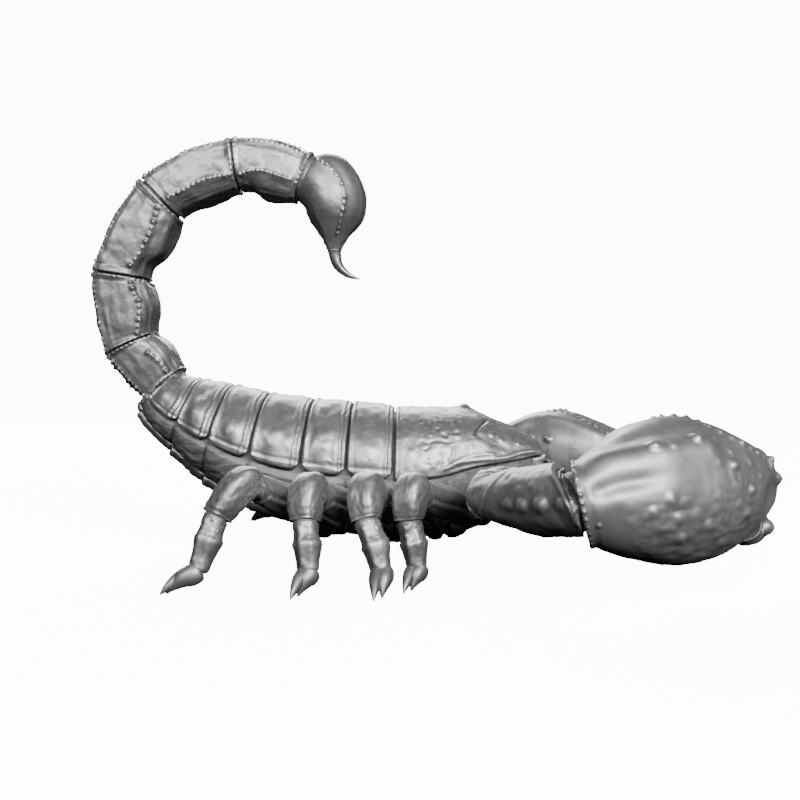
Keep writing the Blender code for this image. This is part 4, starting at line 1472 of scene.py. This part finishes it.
    def bulb(self, plane: Joint, shop: Workshop) -> None:
        """Make the venom bulb with its beaded keel, and the sting, as two lengths of one sweep."""
        line = np.vstack([self.middle(self.bulb_line), self.middle(self.sting_line)])
        wide, tall, deep = (half + self.sting_half for half in
                            (self.bulb_half_width, self.bulb_half_height, self.bulb_half_depth))
        whole = Limb(line, wide, tall, plane, None, LEFT, 2.0, deep, rims=(0.2, 0.05), step=0.1,
                     hollows=(0.3, 0.0))
        seam = (len(self.bulb_line) - 1) / (len(line) - 1)
        skin = whole.skin()
        share = whole.grid_share / seam
        keel, lower = ([(along * seam, turn) for along, turn in knots]
                       for knots in (self.bulb_keel, self.bulb_lower_keel))
        for knots, *sizes in ((keel, 0.86, 0.30, 0.22, 4), (lower, 0.6, 0.2, 0.13, 5)):
            for line in both_sides(whole.path(knots)):
                skin.bead_row(line, *sizes)
        strokes = [(keel, 0.5, 0.12, 0.1)]
        for turn in (62.0, -40.0):
            knots = ((0.3 * seam, turn), (0.7 * seam, turn), (0.98 * seam, turn), (seam + 0.1, turn))
            strokes.append((knots, 0.4, 0.07, 0.2))
        skin.strokes(whole, strokes, True)
        skin.rings(whole, ((0.045 * seam, 0.15, -0.08),))
        smooth_ends = smoothstep(0.05, 0.2, share) * smoothstep(0.0, 0.5, 1.0 - share)
        skin.wrinkle(1.7, 0.05, smooth_ends, 51, 2)
        skin.wrinkle(0.4, 0.012, 1.0, 53, 2)
        skin.tone -= 0.35 * smoothstep(0.75, 1.0, share)
        row = int(np.abs(whole.grid_share[:, 0] - seam).argmin())
        bulb, sting = skin.part(0, row + 1), skin.part(row, len(share))
        sting.tone += 0.9 * (1.0 - smoothstep(0.0, 0.5, (whole.grid_share[row:] - seam) / (1.0 - seam)))
        shop.show("venom_bulb", [bulb], Look.PLATE, "telson")
        shop.show("sting_point", [sting], Look.STING, "sting")


# Walking legs.

@dataclass(frozen=True)
class LegPlan:
    """Where one leg of the left side bends, as (x, distance from the middle plane, z)."""

    hip_station: float
    knee: Colour
    shin: Colour
    tibia_end: Colour
    ankle: Colour
    toe: Colour
    claw_tips: Knots


@dataclass
class WalkingLegs:
    """Four pairs of legs: femur, patella, and a foot of tibia, basitarsus, tarsus and claws."""

    form: BodyForm
    plans: tuple[LegPlan, ...] = (
        LegPlan(9.0, (1.25, 23.4, 10.8), (1.0, 24.0, 7.4), (1.6, 24.3, 4.9), (1.9, 24.5, 2.1),
                (1.0, 25.6, 0.45), ((0.36, 27.5), (1.24, 26.3))),
        LegPlan(7.85, (-3.9, 24.4, 11.0), (-3.7, 26.0, 7.6), (-2.6, 26.8, 5.1), (-2.0, 27.4, 2.3),
                (-2.3, 28.7, 0.45), ((-2.77, 31.0), (-1.9, 29.7))),
        LegPlan(7.0, (-10.3, 24.4, 11.0), (-10.4, 26.0, 7.5), (-10.1, 26.8, 5.2), (-9.9, 27.4, 2.3),
                (-10.7, 28.3, 0.45), ((-11.5, 30.4), (-10.86, 29.0))),
        LegPlan(6.0, (-17.5, 23.6, 11.6), (-20.4, 25.0, 8.0), (-21.1, 25.8, 5.5), (-22.1, 26.5, 2.2),
                (-24.6, 27.2, 0.45), ((-25.8, 28.1), (-25.24, 27.6))),
    )
    hip_angle: float = 38.0
    trochanter_reach: float = 3.0
    trochanter_rise: float = 0.4
    femur_arch: float = 0.3
    femur_half_height: Sizes = (1.7, 1.8, 2.1, 2.0, 1.6)
    femur_half_width: Sizes = (1.55, 1.55, 1.65, 1.6, 1.5)
    knee_setback: float = 1.7
    patella_half_width: Sizes = (1.72, 1.8, 1.82, 1.8, 1.7, 1.42)
    patella_half_height: Sizes = (1.8, 2.4, 2.55, 2.35, 1.95, 1.42)
    patella_half_depth: Sizes = (1.35, 1.1, 1.05, 1.15, 1.3, 1.42)
    patella_roundness: float = 3.8
    shank_half: Sizes = (1.42, 1.44, 1.58, 1.3, 1.18)
    shoulder: float = 0.46              # share of the shank where the basitarsus starts
    claw_half: Sizes = (1.12, 1.22, 0.98, 0.55, 0.1)
    claw_sizes: Pair = (0.88, 1.0)
    claw_roots: Pair = (0.24, -0.22)

    def build(self, shop: Workshop) -> None:
        """Make every leg of both sides."""
        for number, plan in enumerate(self.plans, start=1):
            self.leg(number, plan, shop)

    def leg(self, number: int, plan: LegPlan, shop: Workshop) -> None:
        """Make one pair of legs.

        Args:
            number: counted from the head.
            plan: where the left leg bends.
            shop: where the pieces are shown.
        """
        hip = self.form.joint(plan.hip_station, self.hip_angle, 0.0)
        corner, shin, tibia_end, ankle, toe = (np.array(spot) for spot in
                                               (plan.knee, plan.shin, plan.tibia_end, plan.ankle, plan.toe))
        outward = unit((corner - hip.point) * (1.0, 1.0, 0.0))
        across = np.cross(UP, outward)
        setback = corner + unit(hip.point - corner) * self.knee_setback
        trochanter = hip.point + outward * self.trochanter_reach + UP * self.trochanter_rise
        knee = Joint.between(trochanter, setback, (corner + shin) / 2.0)
        shin_joint = Joint.between(corner, shin, tibia_end)
        thigh = [trochanter + (setback - trochanter) * step / 3.0 for step in range(4)]
        thigh[1] = thigh[1] + UP * self.femur_arch
        femur = Limb(np.stack([hip.point] + thigh), self.femur_half_width, self.femur_half_height, hip, knee,
                     across, step=0.13)
        patella = Limb(arc_line(setback, corner, shin), self.patella_half_width, self.patella_half_height,
                       knee, shin_joint, across, self.patella_roundness, self.patella_half_depth,
                       rims=(0.25, 0.1), step=0.12, hollows=(0.3, 0.15))
        bends = (shin, tibia_end, ankle, toe)
        shells = {"femur": [self.femur_skin(femur, number)], "patella": [self.patella_skin(patella, number)],
                  "foot": self.foot_skins(bends, plan.claw_tips, shin_joint, across, number)}
        folds = (sleeve_skin(knee, 1.4, 1.5, across), sleeve_skin(shin_joint, 1.36, 1.34, across),
                 sleeve_skin(hip, 1.4, 1.5, across))
        for side in Side:
            for label, skins in shells.items():
                shop.show(f"{label}_{side.word}_{number}", skins, Look.LIMB,
                          f"leg_{side.word}_{number}_{label}", side=side)
            shop.show(f"leg_joint_skins_{side.word}_{number}", folds, Look.HIDE, side=side)

    def femur_skin(self, femur: Limb, seed: int) -> Skin:
        """One thigh, with a ring at the trochanter and keels along it."""
        skin = femur.skin()
        skin.rings(femur, ((0.2, 0.24, -0.22), (0.16, 0.25, 0.10)))
        for half in (1.0, -1.0):
            rim = [(share, 90.0 + half * turn) for share, turn in
                   ((0.985, 10.0), (0.96, 50.0), (0.91, 90.0), (0.94, 125.0), (0.975, 165.0))]
            skin.strokes(femur, ((rim, 0.15, 0.09, 0.0, 0.4),))
            for turn, height in ((52.0, 0.08), (96.0, -0.14), (114.0, 0.2)):
                at = 90.0 - half * turn
                skin.strokes(femur, ((((0.24, at), (0.6, at), (0.95, at + 4.0)), 0.3, height),))
        skin.wrinkle(1.6, 0.05, 1.0, seed)
        skin.wrinkle(0.45, 0.015, 1.0, seed + 5, 2)
        # Painted light: the whole thigh is made paler to lift it out of the shadow it sits in.
        skin.tone += 0.5
        return skin

    def patella_skin(self, patella: Limb, seed: int) -> Skin:
        """One knee piece, with rims at both ends and a finely grained outer face."""
        skin = patella.skin()
        share = patella.grid_share
        skin.rings(patella, ((0.03, 0.12, 0.07, 0.3), (0.975, 0.10, 0.03, 0.1), (0.94, 0.10, -0.05)))
        skin.strokes(patella, ((((0.1, 98.0), (0.5, 100.0), (0.97, 96.0)), 0.6, 0.04, 0.1),
                               (((0.45, 12.0), (0.7, 28.0), (0.93, 36.0)), 0.2, -0.03, 0.3),
                               (((0.45, 168.0), (0.7, 152.0), (0.93, 144.0)), 0.2, -0.03, 0.3)))
        grained = smoothstep(0.08, 0.3, share) * smoothstep(0.0, 0.1, 1.0 - share)
        skin.wrinkle((1.3, 1.3, 1.8), 0.055, grained, seed + 20)
        skin.wrinkle((0.34, 0.34, 0.4), 0.05, grained, seed + 23, 2)
        return skin

    def foot_skins(self, bends: Sequence[Array], tips: Knots, start: Joint, across: Array,
                   seed: int) -> tuple[Skin, ...]:
        """The shank from the shin to the ankle, through those bends, and the two claws at its tip."""
        shin, tibia_end, ankle, toe = bends
        line = np.stack([shin, (shin + tibia_end) / 2.0, tibia_end, (tibia_end + ankle) / 2.0, ankle])
        shank = Limb(line, self.shank_half, self.shank_half, start, None, across, rims=(0.1, 0.5), step=0.1,
                     hollows=(0.15, 0.0))
        skin = shank.skin()
        share = shank.grid_share
        skin.height -= 0.08 * smoothstep(0.0, 0.14, self.shoulder - share) * smoothstep(0.1, 0.3, share)
        skin.rings(shank, ((self.shoulder + 0.03, 0.4, 0.05, 0.25), (self.shoulder - 0.05, 0.2, -0.04),
                           (0.035, 0.12, 0.03, 0.2)))
        for turn, height in ((94.0, 0.16), (68.0, -0.05), (120.0, -0.05)):
            skin.strokes(shank, ((((0.08, turn), (0.5, turn), (0.9, turn)), 0.42, height, 0.1),))
        skin.wrinkle((1.0, 1.0, 1.4), 0.055, 1.0, seed * 3)
        skin.wrinkle((0.34, 0.34, 0.4), 0.035, 1.0 - 0.6 * smoothstep(0.4, 0.6, share), seed * 3 + 9, 2)
        return tuple(on_floor(each) for each in (skin, *self.claw_skins(ankle, toe, tips)))

    def claw_skins(self, ankle: Array, toe: Array, tips: Knots) -> list[Skin]:
        """The two teardrop claws of one foot, which arch from the ankle down to the floor."""
        ahead = unit((toe - ankle) * (1.0, 1.0, 0.0))
        across = np.cross(UP, ahead)
        skins = []
        for aside, size, (tip_x, tip_y) in zip(self.claw_roots, self.claw_sizes, tips):
            tip = np.array((tip_x, tip_y, 0.1))
            root = ankle + across * aside + UP * 0.3 - ahead * 0.35
            reach = tip - root
            knots = np.stack([root + reach * share + UP * lift + across * aside * bow for share, lift, bow in
                              ((0.0, 0.0, 0.0), (0.24, 0.10, 0.5), (0.52, 0.36, 0.6), (0.8, 0.30, 0.2),
                               (1.0, 0.0, 0.0))])
            tall = scaled(self.claw_half, size)
            claw = Limb(knots, scaled(tall, 0.85), tall, rims=(0.5, 0.05), step=0.085, hollows=(0.0, 0.0))
            skin = claw.skin()
            skin.tone -= 0.7 * smoothstep(0.0, 0.5, claw.grid_share)
            skins.append(skin)
        return skins


def arc_line(start: Array, corner: Array, end: Array) -> Array:
    """Four places on the arc that rounds off a corner between two others."""
    return np.stack([(start * (1.0 - t) + corner * t) * (1.0 - t) + (corner * (1.0 - t) + end * t) * t
                     for t in (0.0, 1.0 / 3.0, 2.0 / 3.0, 1.0)])


def on_floor(skin: Skin) -> Skin:
    """Press whatever would reach below the floor flat against it."""
    low = skin.surface()[..., 2]
    skin.points[..., 2] += np.maximum(0.0, -low)
    return skin


def sleeve_skin(joint: Joint, half_width: float, half_height: float, across: Array | None,
                length: float = 1.3) -> Skin:
    """The folded skin inside a limb's joint."""
    line = np.stack([joint.point + joint.normal * length * offset for offset in (-0.5, 0.0, 0.5)])
    return folded(Limb(line, (half_width,) * 3, (half_height,) * 3, across=across, step=0.16), 3.0, 0.05)


# Pedipalps.

@dataclass
class Pedipalps:
    """The two big arms with their swollen hands."""

    form: BodyForm
    root_station: float = 10.4
    root_angle: float = 22.0
    root_inset: float = 0.5
    neck: Colour = (13.7, 12.4, 10.2)
    elbow: Colour = (9.5, 28.4, 10.6)
    wrist: Colour = (17.0, 38.2, 11.3)
    finger_root: Colour = (38.3, 26.4, 12.2)
    trochanter_half: Sizes = (1.9, 2.5, 2.2)
    femur_half_height: Sizes = (2.2, 2.7, 2.8, 2.5)
    femur_half_width: Sizes = (2.0, 2.3, 2.4, 2.3)
    patella_half_height: Sizes = (2.1, 3.1, 3.6, 3.3)
    patella_half_width: Sizes = (2.1, 3.0, 3.2, 2.9)
    hand_half_height: Sizes = (3.6, 5.3, 6.9, 7.55, 6.85, 5.2, 3.4)
    hand_half_depth: Sizes = (4.3, 5.8, 6.95, 7.5, 7.15, 5.9, 3.7)
    hand_half_width: Sizes = (3.2, 5.0, 6.4, 6.9, 6.6, 5.6, 3.6)
    hand_roundness: float = 2.15
    hand_tubercles: tuple = (           # rows of share along, degrees round, radius, height
        (0.292, 48.5, 0.8, 0.42), (0.35, 44.5, 0.6, 0.2), (0.442, 46.5, 0.8, 0.46), (0.545, 46.0, 0.55, 0.2),
        (0.583, 22.0, 0.75, 0.36), (0.667, 2.0, 0.7, 0.34), (0.50, 24.0, 0.6, 0.10), (0.70, 24.0, 0.55, 0.14),
        (0.75, 12.0, 0.5, 0.14), (0.64, -14.0, 0.7, 0.14), (0.60, 34.0, 0.5, 0.14), (0.06, -20.0, 0.35, 0.16),
    )
    granule_fields: tuple = (           # rows of count, place from and to, size from and to, seed
        (70, (0.16, -44.0), (0.66, 2.0), (0.5, 0.03), (0.9, 0.10), 101),
        (40, (0.55, -40.0), (0.85, 30.0), (0.4, 0.03), (0.7, 0.07), 103),
        (50, (0.2, -170.0), (0.8, -46.0), (0.3, 0.03), (0.55, 0.07), 105),
        (30, (0.3, 60.0), (0.9, 175.0), (0.25, 0.03), (0.4, 0.07), 107),
    )
    wrist_lean: float = 0.17
    knuckle_slope: float = 0.6
    fixed_finger: Knots = ((35.6, 29.0, 13.6), (39.2, 24.6, 13.9), (40.8, 19.4, 13.2), (40.4, 14.0, 11.2))
    free_finger: Knots = ((37.4, 27.0, 7.2), (39.8, 22.8, 6.8), (41.0, 18.0, 7.6), (40.5, 13.6, 9.6))
    finger_half_height: Sizes = (2.05, 1.9, 1.35, 0.3)
    finger_half_width: Sizes = (2.1, 1.8, 1.2, 0.3)

    def build(self, shop: Workshop) -> None:
        """Make both arms."""
        neck, elbow, wrist, knuckle = (np.array(spot) for spot in
                                       (self.neck, self.elbow, self.wrist, self.finger_root))
        root = self.form.joint(self.root_station, self.root_angle, self.root_inset)
        neck_joint = Joint.between(root.point, neck, elbow)
        elbow_joint = Joint.between(neck, elbow, wrist)
        wrist_joint = Joint.between(elbow, wrist, knuckle)
        wrist_joint = Joint(wrist, unit(wrist_joint.normal + UP * self.wrist_lean))
        trochanter = Limb(spread_line(root.point, neck, 2), self.trochanter_half, self.trochanter_half, root,
                          neck_joint, step=0.15)
        femur = Limb(spread_line(neck, elbow, 3), self.femur_half_width, self.femur_half_height, neck_joint,
                     elbow_joint, step=0.14)
        patella = Limb(spread_line(elbow, wrist, 3), self.patella_half_width, self.patella_half_height,
                       elbow_joint, wrist_joint, step=0.13)
        hand = Limb(spread_line(wrist, knuckle, 6), self.hand_half_width, self.hand_half_height, wrist_joint,
                    None, None, self.hand_roundness, self.hand_half_depth, rims=(0.3, 0.5), step=0.15)
        free, fixed = np.array(self.free_finger), np.array(self.fixed_finger)
        slope = unit(unit(free[1] - free[0]) - UP * self.knuckle_slope)
        knuckle_joint = Joint(free[0], slope)
        shells = (
            ("trochanter", "palp_root", [self.trochanter_skin(trochanter)], Look.LIMB),
            ("femur", "palp_femur", [self.femur_skin(femur)], Look.LIMB),
            ("patella", "palp_patella", [self.patella_skin(patella)], Look.HAND),
            ("hand", "hand", [self.hand_skin(hand, knuckle_joint), self.finger_skin(fixed, None, -1.0)],
             Look.HAND),
            ("finger", "free_finger", [self.finger_skin(free, knuckle_joint, 1.0)], Look.HAND),
        )
        folds = (sleeve_skin(neck_joint, 1.9, 2.0, None, 1.8), sleeve_skin(elbow_joint, 2.0, 2.1, None, 2.2),
                 sleeve_skin(wrist_joint, 2.6, 2.9, None, 2.0), sleeve_skin(root, 1.6, 1.7, None, 1.6),
                 sleeve_skin(knuckle_joint, 1.8, 2.0, None, 1.6))
        for side in Side:
            for label, title, skins, look in shells:
                shop.show(f"{title}_{side.word}", skins, look, f"palp_{side.word}_{label}", side=side)
            shop.show(f"palp_joint_skins_{side.word}", folds, Look.HIDE, side=side)

    def trochanter_skin(self, trochanter: Limb) -> Skin:
        """The arm's first short piece."""
        skin = trochanter.skin()
        skin.rings(trochanter, ((0.9, 0.3, 0.2),))
        skin.beads(trochanter.spots(((0.6, 60.0), (0.5, 20.0), (0.6, -60.0))), 0.6, 0.3)
        skin.wrinkle(1.0, 0.12, 1.0, 71)
        return skin

    def femur_skin(self, femur: Limb) -> Skin:
        """The arm's second piece, with granular keels."""
        skin = femur.skin()
        for turn in (52.0, 128.0, -50.0, -130.0):
            line = femur.path(((0.06, turn), (0.5, turn), (0.93, turn)))
            skin.ridge(line, 0.4, 0.2, 0.06)
            skin.bead_row(line, 0.7, 0.26, 0.16, int(turn) + 200)
        skin.rings(femur, ((0.93, 0.3, 0.2), (0.86, 0.3, -0.18)))
        skin.wrinkle(1.6, 0.1, 1.0, 73)
        skin.wrinkle(0.4, 0.03, 1.0, 75, 2)
        return skin

    def patella_skin(self, patella: Limb) -> Skin:
        """The arm's third piece, with a row of tubercles and folded skin towards the wrist."""
        skin = patella.skin()
        near_rim = ((0.16, 120.0), (0.34, 85.0), (0.30, 40.0), (0.24, 0.0), (0.10, -50.0), (0.06, -90.0))
        far_rim = ((0.80, 150.0), (0.80, 100.0), (0.82, 62.0), (0.89, 30.0), (0.94, 0.0), (0.97, -40.0))
        lower_keel = ((0.3, -34.0), (0.6, -36.0), (0.9, -34.0))
        front_keel = ((0.25, 150.0), (0.55, 160.0), (0.85, 165.0))
        skin.strokes(patella, ((near_rim, 0.24, 0.13, 0.08, 0.2), (far_rim, 0.2, 0.16, 0.05, 0.4),
                               (lower_keel, 0.8, 0.16), (front_keel, 0.5, 0.3, 0.06)))
        skin.bead_row(patella.path(front_keel), 1.3, 0.5, 0.4, 83)
        beyond = self.beyond(patella, far_rim)
        skin.height -= beyond * (0.55 + 0.1 * np.sin(patella.grid_share * patella.length() * 9.0))
        skin.wrinkle((0.9, 0.9, 0.28), 0.16, beyond, 81)
        skin.tone += beyond * 0.5
        skin.tubercles(patella, ((0.48, -6.0, 0.85, 0.26), (0.62, -6.0, 0.9, 0.34), (0.755, -3.0, 1.05, 0.5),
                                 (0.89, -1.0, 0.8, 0.26)))
        small = ((0.42, 52.0), (0.48, 44.0), (0.5, 60.0), (0.7, 24.0), (0.6, 18.0))
        skin.beads(patella.spots(small), 0.6, 0.09)
        skin.wrinkle(2.2, 0.14, 1.0 - beyond, 85)
        skin.wrinkle((0.7, 0.7, 2.6), 0.03, 1.0 - beyond, 87, 2)
        skin.tone -= 0.4 * (1.0 - beyond)
        return skin

    @staticmethod
    def beyond(patella: Limb, rim: Knots) -> Array:
        """How far each point has passed a slanting rim, from 0 before it to 1 behind it."""
        knots = np.array(sorted((turn, share) for share, turn in rim))
        turn = signed_degrees(patella.grid_angle)
        limit = np.interp(turn, knots[:, 0], knots[:, 1])
        return smoothstep(0.012, 0.04, patella.grid_share - limit) * (turn > -60.0)

    def hand_skin(self, hand: Limb, knuckle: Joint) -> Skin:
        """The swollen hand: furrow, keels, tubercles, granules and the hollow at the fingers' root."""
        skin = hand.skin()
        share, turn = hand.grid_share, signed_degrees(hand.grid_angle)
        over = np.maximum(knuckle.depth(skin.points) + CLEARANCE, 0.0)
        skin.points = skin.points - knuckle.normal * over[..., None]
        furrow = ((0.03, 13.0), (0.09, 18.0), (0.15, 20.5), (0.22, 20.5), (0.33, 19.0))
        carina = ((0.05, 60.0), (0.167, 52.0), (0.275, 46.0), (0.37, 42.0), (0.45, 41.0), (0.56, 42.0))
        crest = ((0.50, 104.0), (0.56, 92.0), (0.60, 78.0), (0.615, 62.0), (0.66, 50.0), (0.76, 40.0),
                 (0.96, 30.0))
        inner = ((0.1, 122.0), (0.3, 118.0), (0.5, 124.0), (0.7, 130.0), (0.9, 146.0))
        root_keel = ((0.86, 24.0), (0.93, 12.0), (0.97, -4.0))
        skin.strokes(hand, ((furrow, 0.95, -0.42, 0.35), (carina, 1.5, 0.34, 0.2), (crest, 0.6, 0.14, 0.1),
                            (inner, 1.0, 0.34, 0.1), (root_keel, 0.5, 0.24, 0.2)))
        step = np.interp(share, (0.05, 0.2, 0.4, 0.6), (62.0, 50.0, 42.0, 42.0))
        along = smoothstep(0.08, 0.25, share) * smoothstep(0.0, 0.2, 0.72 - share)
        skin.height -= 0.42 * bell(turn - step, 24.0, 14.0) * along
        skin.tubercles(hand, self.hand_tubercles)
        skin.bead_row(hand.path(crest), 1.3, 0.42, 0.24, 91)
        inner_row = ((0.45, 100.0), (0.62, 104.0), (0.8, 116.0), (0.95, 135.0))
        skin.bead_row(hand.path(inner_row), 1.2, 0.4, 0.22, 93)
        skin.tubercles(hand, ((0.542, 162.0, 0.8, 0.45), (0.40, 158.0, 0.6, 0.2), (0.3, 150.0, 0.5, 0.14)))
        self.granules(hand, skin, turn)
        skin.rings(hand, ((0.018, 0.2, 0.06), (0.045, 0.26, -0.06)))
        skin.bead_row(hand.ring(0.018), 0.8, 0.26, 0.14, 95)
        skin.tubercles(hand, ((0.86, -12.0, 2.6, -0.7),))
        skin.tubercles(hand, ((0.89, 30.0, 0.95, 0.45), (0.95, 10.0, 0.95, 0.45)))
        body = smoothstep(0.03, 0.12, share)
        skin.wrinkle(4.0, 0.15, body, 97, 2)
        # Painted shade: the hand is darker towards the wrist, dimming the light its near end would otherwise
        # catch.
        skin.tone -= 0.5 * (1.0 - smoothstep(0.04, 0.36, share))
        crosswise = np.stack([turn / 40.0, share * hand.length(), share * 2.0], axis=-1)
        skin.height += 0.03 * body * fractal_noise(crosswise, 2, 99)
        return skin

    def granules(self, hand: Limb, skin: Skin, turn: Array) -> None:
        """Scatter low round granules over the lower outer face and fewer over the rest."""
        for count, low, high, small, large, seed in self.granule_fields:
            size = scattered(count, small, large, seed + 1)
            skin.beads(hand.spots(scattered(count, low, high, seed)), size[:, 0], size[:, 1])
        share = hand.grid_share
        area = smoothstep(0.12, 0.3, share) * smoothstep(0.0, 0.2, 0.85 - share)
        area = area * smoothstep(-12.0, 12.0, 4.0 - turn) * smoothstep(-75.0, -45.0, turn)
        skin.wrinkle((1.3, 1.3, 0.9), 0.09, area, 109, 2)
        large = ((0.242, -6.0), (0.325, -12.0), (0.342, -30.0), (0.525, -36.0), (0.43, -20.0), (0.30, 2.0))
        skin.beads(hand.spots(large), 0.8, 0.2)

    def finger_skin(self, line: Array, joint: Joint | None, facing: float) -> Skin:
        """A curved finger with a toothed edge.

        Args:
            line: knots of its middle line.
            joint: the joint at its root, or None where it grows from the hand.
            facing: 1 where its teeth face up, -1 where they face down.

        Returns:
            Its surface.
        """
        wide, tall = self.finger_half_width, self.finger_half_height
        if joint is None:
            wide, tall = (wide[0] * 1.05, *wide[1:]), (tall[0] * 1.05, *tall[1:])
        finger = Limb(line, wide, tall, joint, rims=(0.8, 0.1), step=0.14, hollows=(0.0, 0.0))
        skin = finger.skin()
        skin.beads(finger.spots(((0.07, 5.0), (0.1, 175.0))), 1.1, 0.3)
        if joint is not None:
            skin.tubercles(finger, ((0.11, 4.0, 1.25, 0.55), (0.12, 2.0, 0.7, 0.5)))
        for turn in (90.0 * facing - 12.0, 90.0 * facing + 12.0):
            skin.bead_row(finger.path(((0.3, turn), (0.6, turn), (0.96, turn))), 0.5, 0.22, 0.2, 111)
        for turn in (30.0 * facing, 150.0 * facing):
            skin.strokes(finger, ((((0.1, turn), (0.5, turn), (0.9, turn)), 0.4, 0.18),))
        skin.wrinkle(1.4, 0.08, 1.0, 113)
        skin.tone -= 0.9 * smoothstep(0.35, 0.95, finger.grid_share)
        return skin


def spread_line(start: Array, end: Array, spans: int) -> Array:
    """Evenly spaced knots from start to end."""
    return np.stack([start + (end - start) * step / spans for step in range(spans + 1)])


# Studio.

@dataclass(frozen=True)
class SoftBox:
    """A lamp with a flat, rectangular face."""

    name: str
    place: Colour
    width: float
    height: float
    power: float


@dataclass
class Studio:
    """Pale floor, soft lamps and the camera."""

    floor_half: float = 0.9
    floor_turn: float = 0.5
    floor_colour: Colour = (0.82, 0.82, 0.82)
    floor_glow: float = 12.0
    target: Colour = (0.0, 0.0, 0.024)
    camera_place: Colour = (0.000283, -0.12012, 0.021)
    field_of_view: float = 50.0
    sensor: float = 36.0
    boxes: tuple[SoftBox, ...] = (
        SoftBox("key", (0.31, -0.61, 0.35), 0.34, 0.24, 12.0),
        SoftBox("side", (-0.24, -0.64, 0.42), 0.28, 0.20, 4.6),
        SoftBox("back", (-0.15, 0.60, 0.45), 0.60, 0.36, 8.0),
    )
    sky: Colour = (0.95, 0.97, 1.0)
    sky_strength: float = 0.008

    def build(self) -> None:
        """Make the floor, the lamps, the world and the camera."""
        self.floor()
        for box in self.boxes:
            self.lamp(box)
        world = bpy.data.worlds.new("studio_world")
        world.use_nodes = True
        background = world.node_tree.nodes["Background"]
        background.inputs["Color"].default_value = (*self.sky, 1.0)
        background.inputs["Strength"].default_value = self.sky_strength
        bpy.context.scene.world = world
        self.camera()

    def floor(self) -> None:
        """Make a round floor whose rim curves up into a wall."""
        shape = bmesh.new()
        centre = shape.verts.new((0.0, 0.0, 0.0))
        turn = np.linspace(0.0, math.pi / 2.0, 12)
        rim = [shape.verts.new((self.floor_half + self.floor_turn * math.sin(a), 0.0,
                                self.floor_turn * (1.0 - math.cos(a)))) for a in turn]
        rim.append(shape.verts.new((self.floor_half + self.floor_turn, 0.0, 2.2)))
        edges = [shape.edges.new(pair) for pair in zip([centre, *rim], rim)]
        bmesh.ops.spin(shape, geom=edges + [centre, *rim], cent=(0, 0, 0), axis=(0, 0, 1), angle=math.tau,
                       steps=72, use_merge=True)
        bmesh.ops.remove_doubles(shape, verts=shape.verts, dist=1e-6)
        bmesh.ops.recalc_face_normals(shape, faces=shape.faces)
        mesh = bpy.data.meshes.new("studio_floor")
        shape.to_mesh(mesh)
        shape.free()
        mesh.shade_smooth()
        shader = Shader("studio_floor_paint")
        mesh.materials.append(shader.finished({
            "Base Color": shader.mix(shader.noise(60.0), self.floor_colour, scaled(self.floor_colour, 0.97)),
            "Roughness": 0.9, "Emission Color": (1.0, 1.0, 1.0, 1.0), "Emission Strength": self.floor_glow,
        }))
        floor = bpy.data.objects.new("studio_floor", mesh)
        floor.visible_diffuse = False
        floor.visible_glossy = False
        bpy.context.scene.collection.objects.link(floor)

    def lamp(self, box: SoftBox) -> None:
        """Add one lamp, turned towards the animal."""
        light = bpy.data.lights.new(box.name, "AREA")
        light.shape = "RECTANGLE"
        light.size, light.size_y = box.width, box.height
        light.energy = box.power
        lamp = bpy.data.objects.new(box.name, light)
        aim = Vector(self.target) - Vector(box.place)
        lamp.location = box.place
        lamp.rotation_euler = aim.to_track_quat("-Z", "Y").to_euler()
        bpy.context.scene.collection.objects.link(lamp)

    def camera(self) -> None:
        """Add the camera, level and square to the animal's right side."""
        lens = bpy.data.cameras.new("camera")
        lens.sensor_width = self.sensor
        lens.lens = self.sensor / 2.0 / math.tan(math.radians(self.field_of_view / 2.0))
        lens.clip_start = 0.005
        lens.clip_end = 10.0
        camera = bpy.data.objects.new("camera", lens)
        camera.location = self.camera_place
        camera.rotation_euler = (math.pi / 2.0, 0.0, 0.0)
        bpy.context.scene.collection.objects.link(camera)
        bpy.context.scene.camera = camera


def main() -> None:
    """Build the whole animal and its studio."""
    logging.basicConfig(level=logging.INFO, format="%(name)s: %(message)s")
    shop = Workshop()
    form = BodyForm()
    tail = Tail()
    SoftBody(form).build(shop, tail.planes()[0])
    for part in (BackPlates(form), HeadShield(form, EYE_HILL), BellyPlates(form), Jaws(), tail,
                 WalkingLegs(form), Pedipalps(form)):
        part.build(shop)
    Studio().build()


if __name__ == "__main__":
    main()
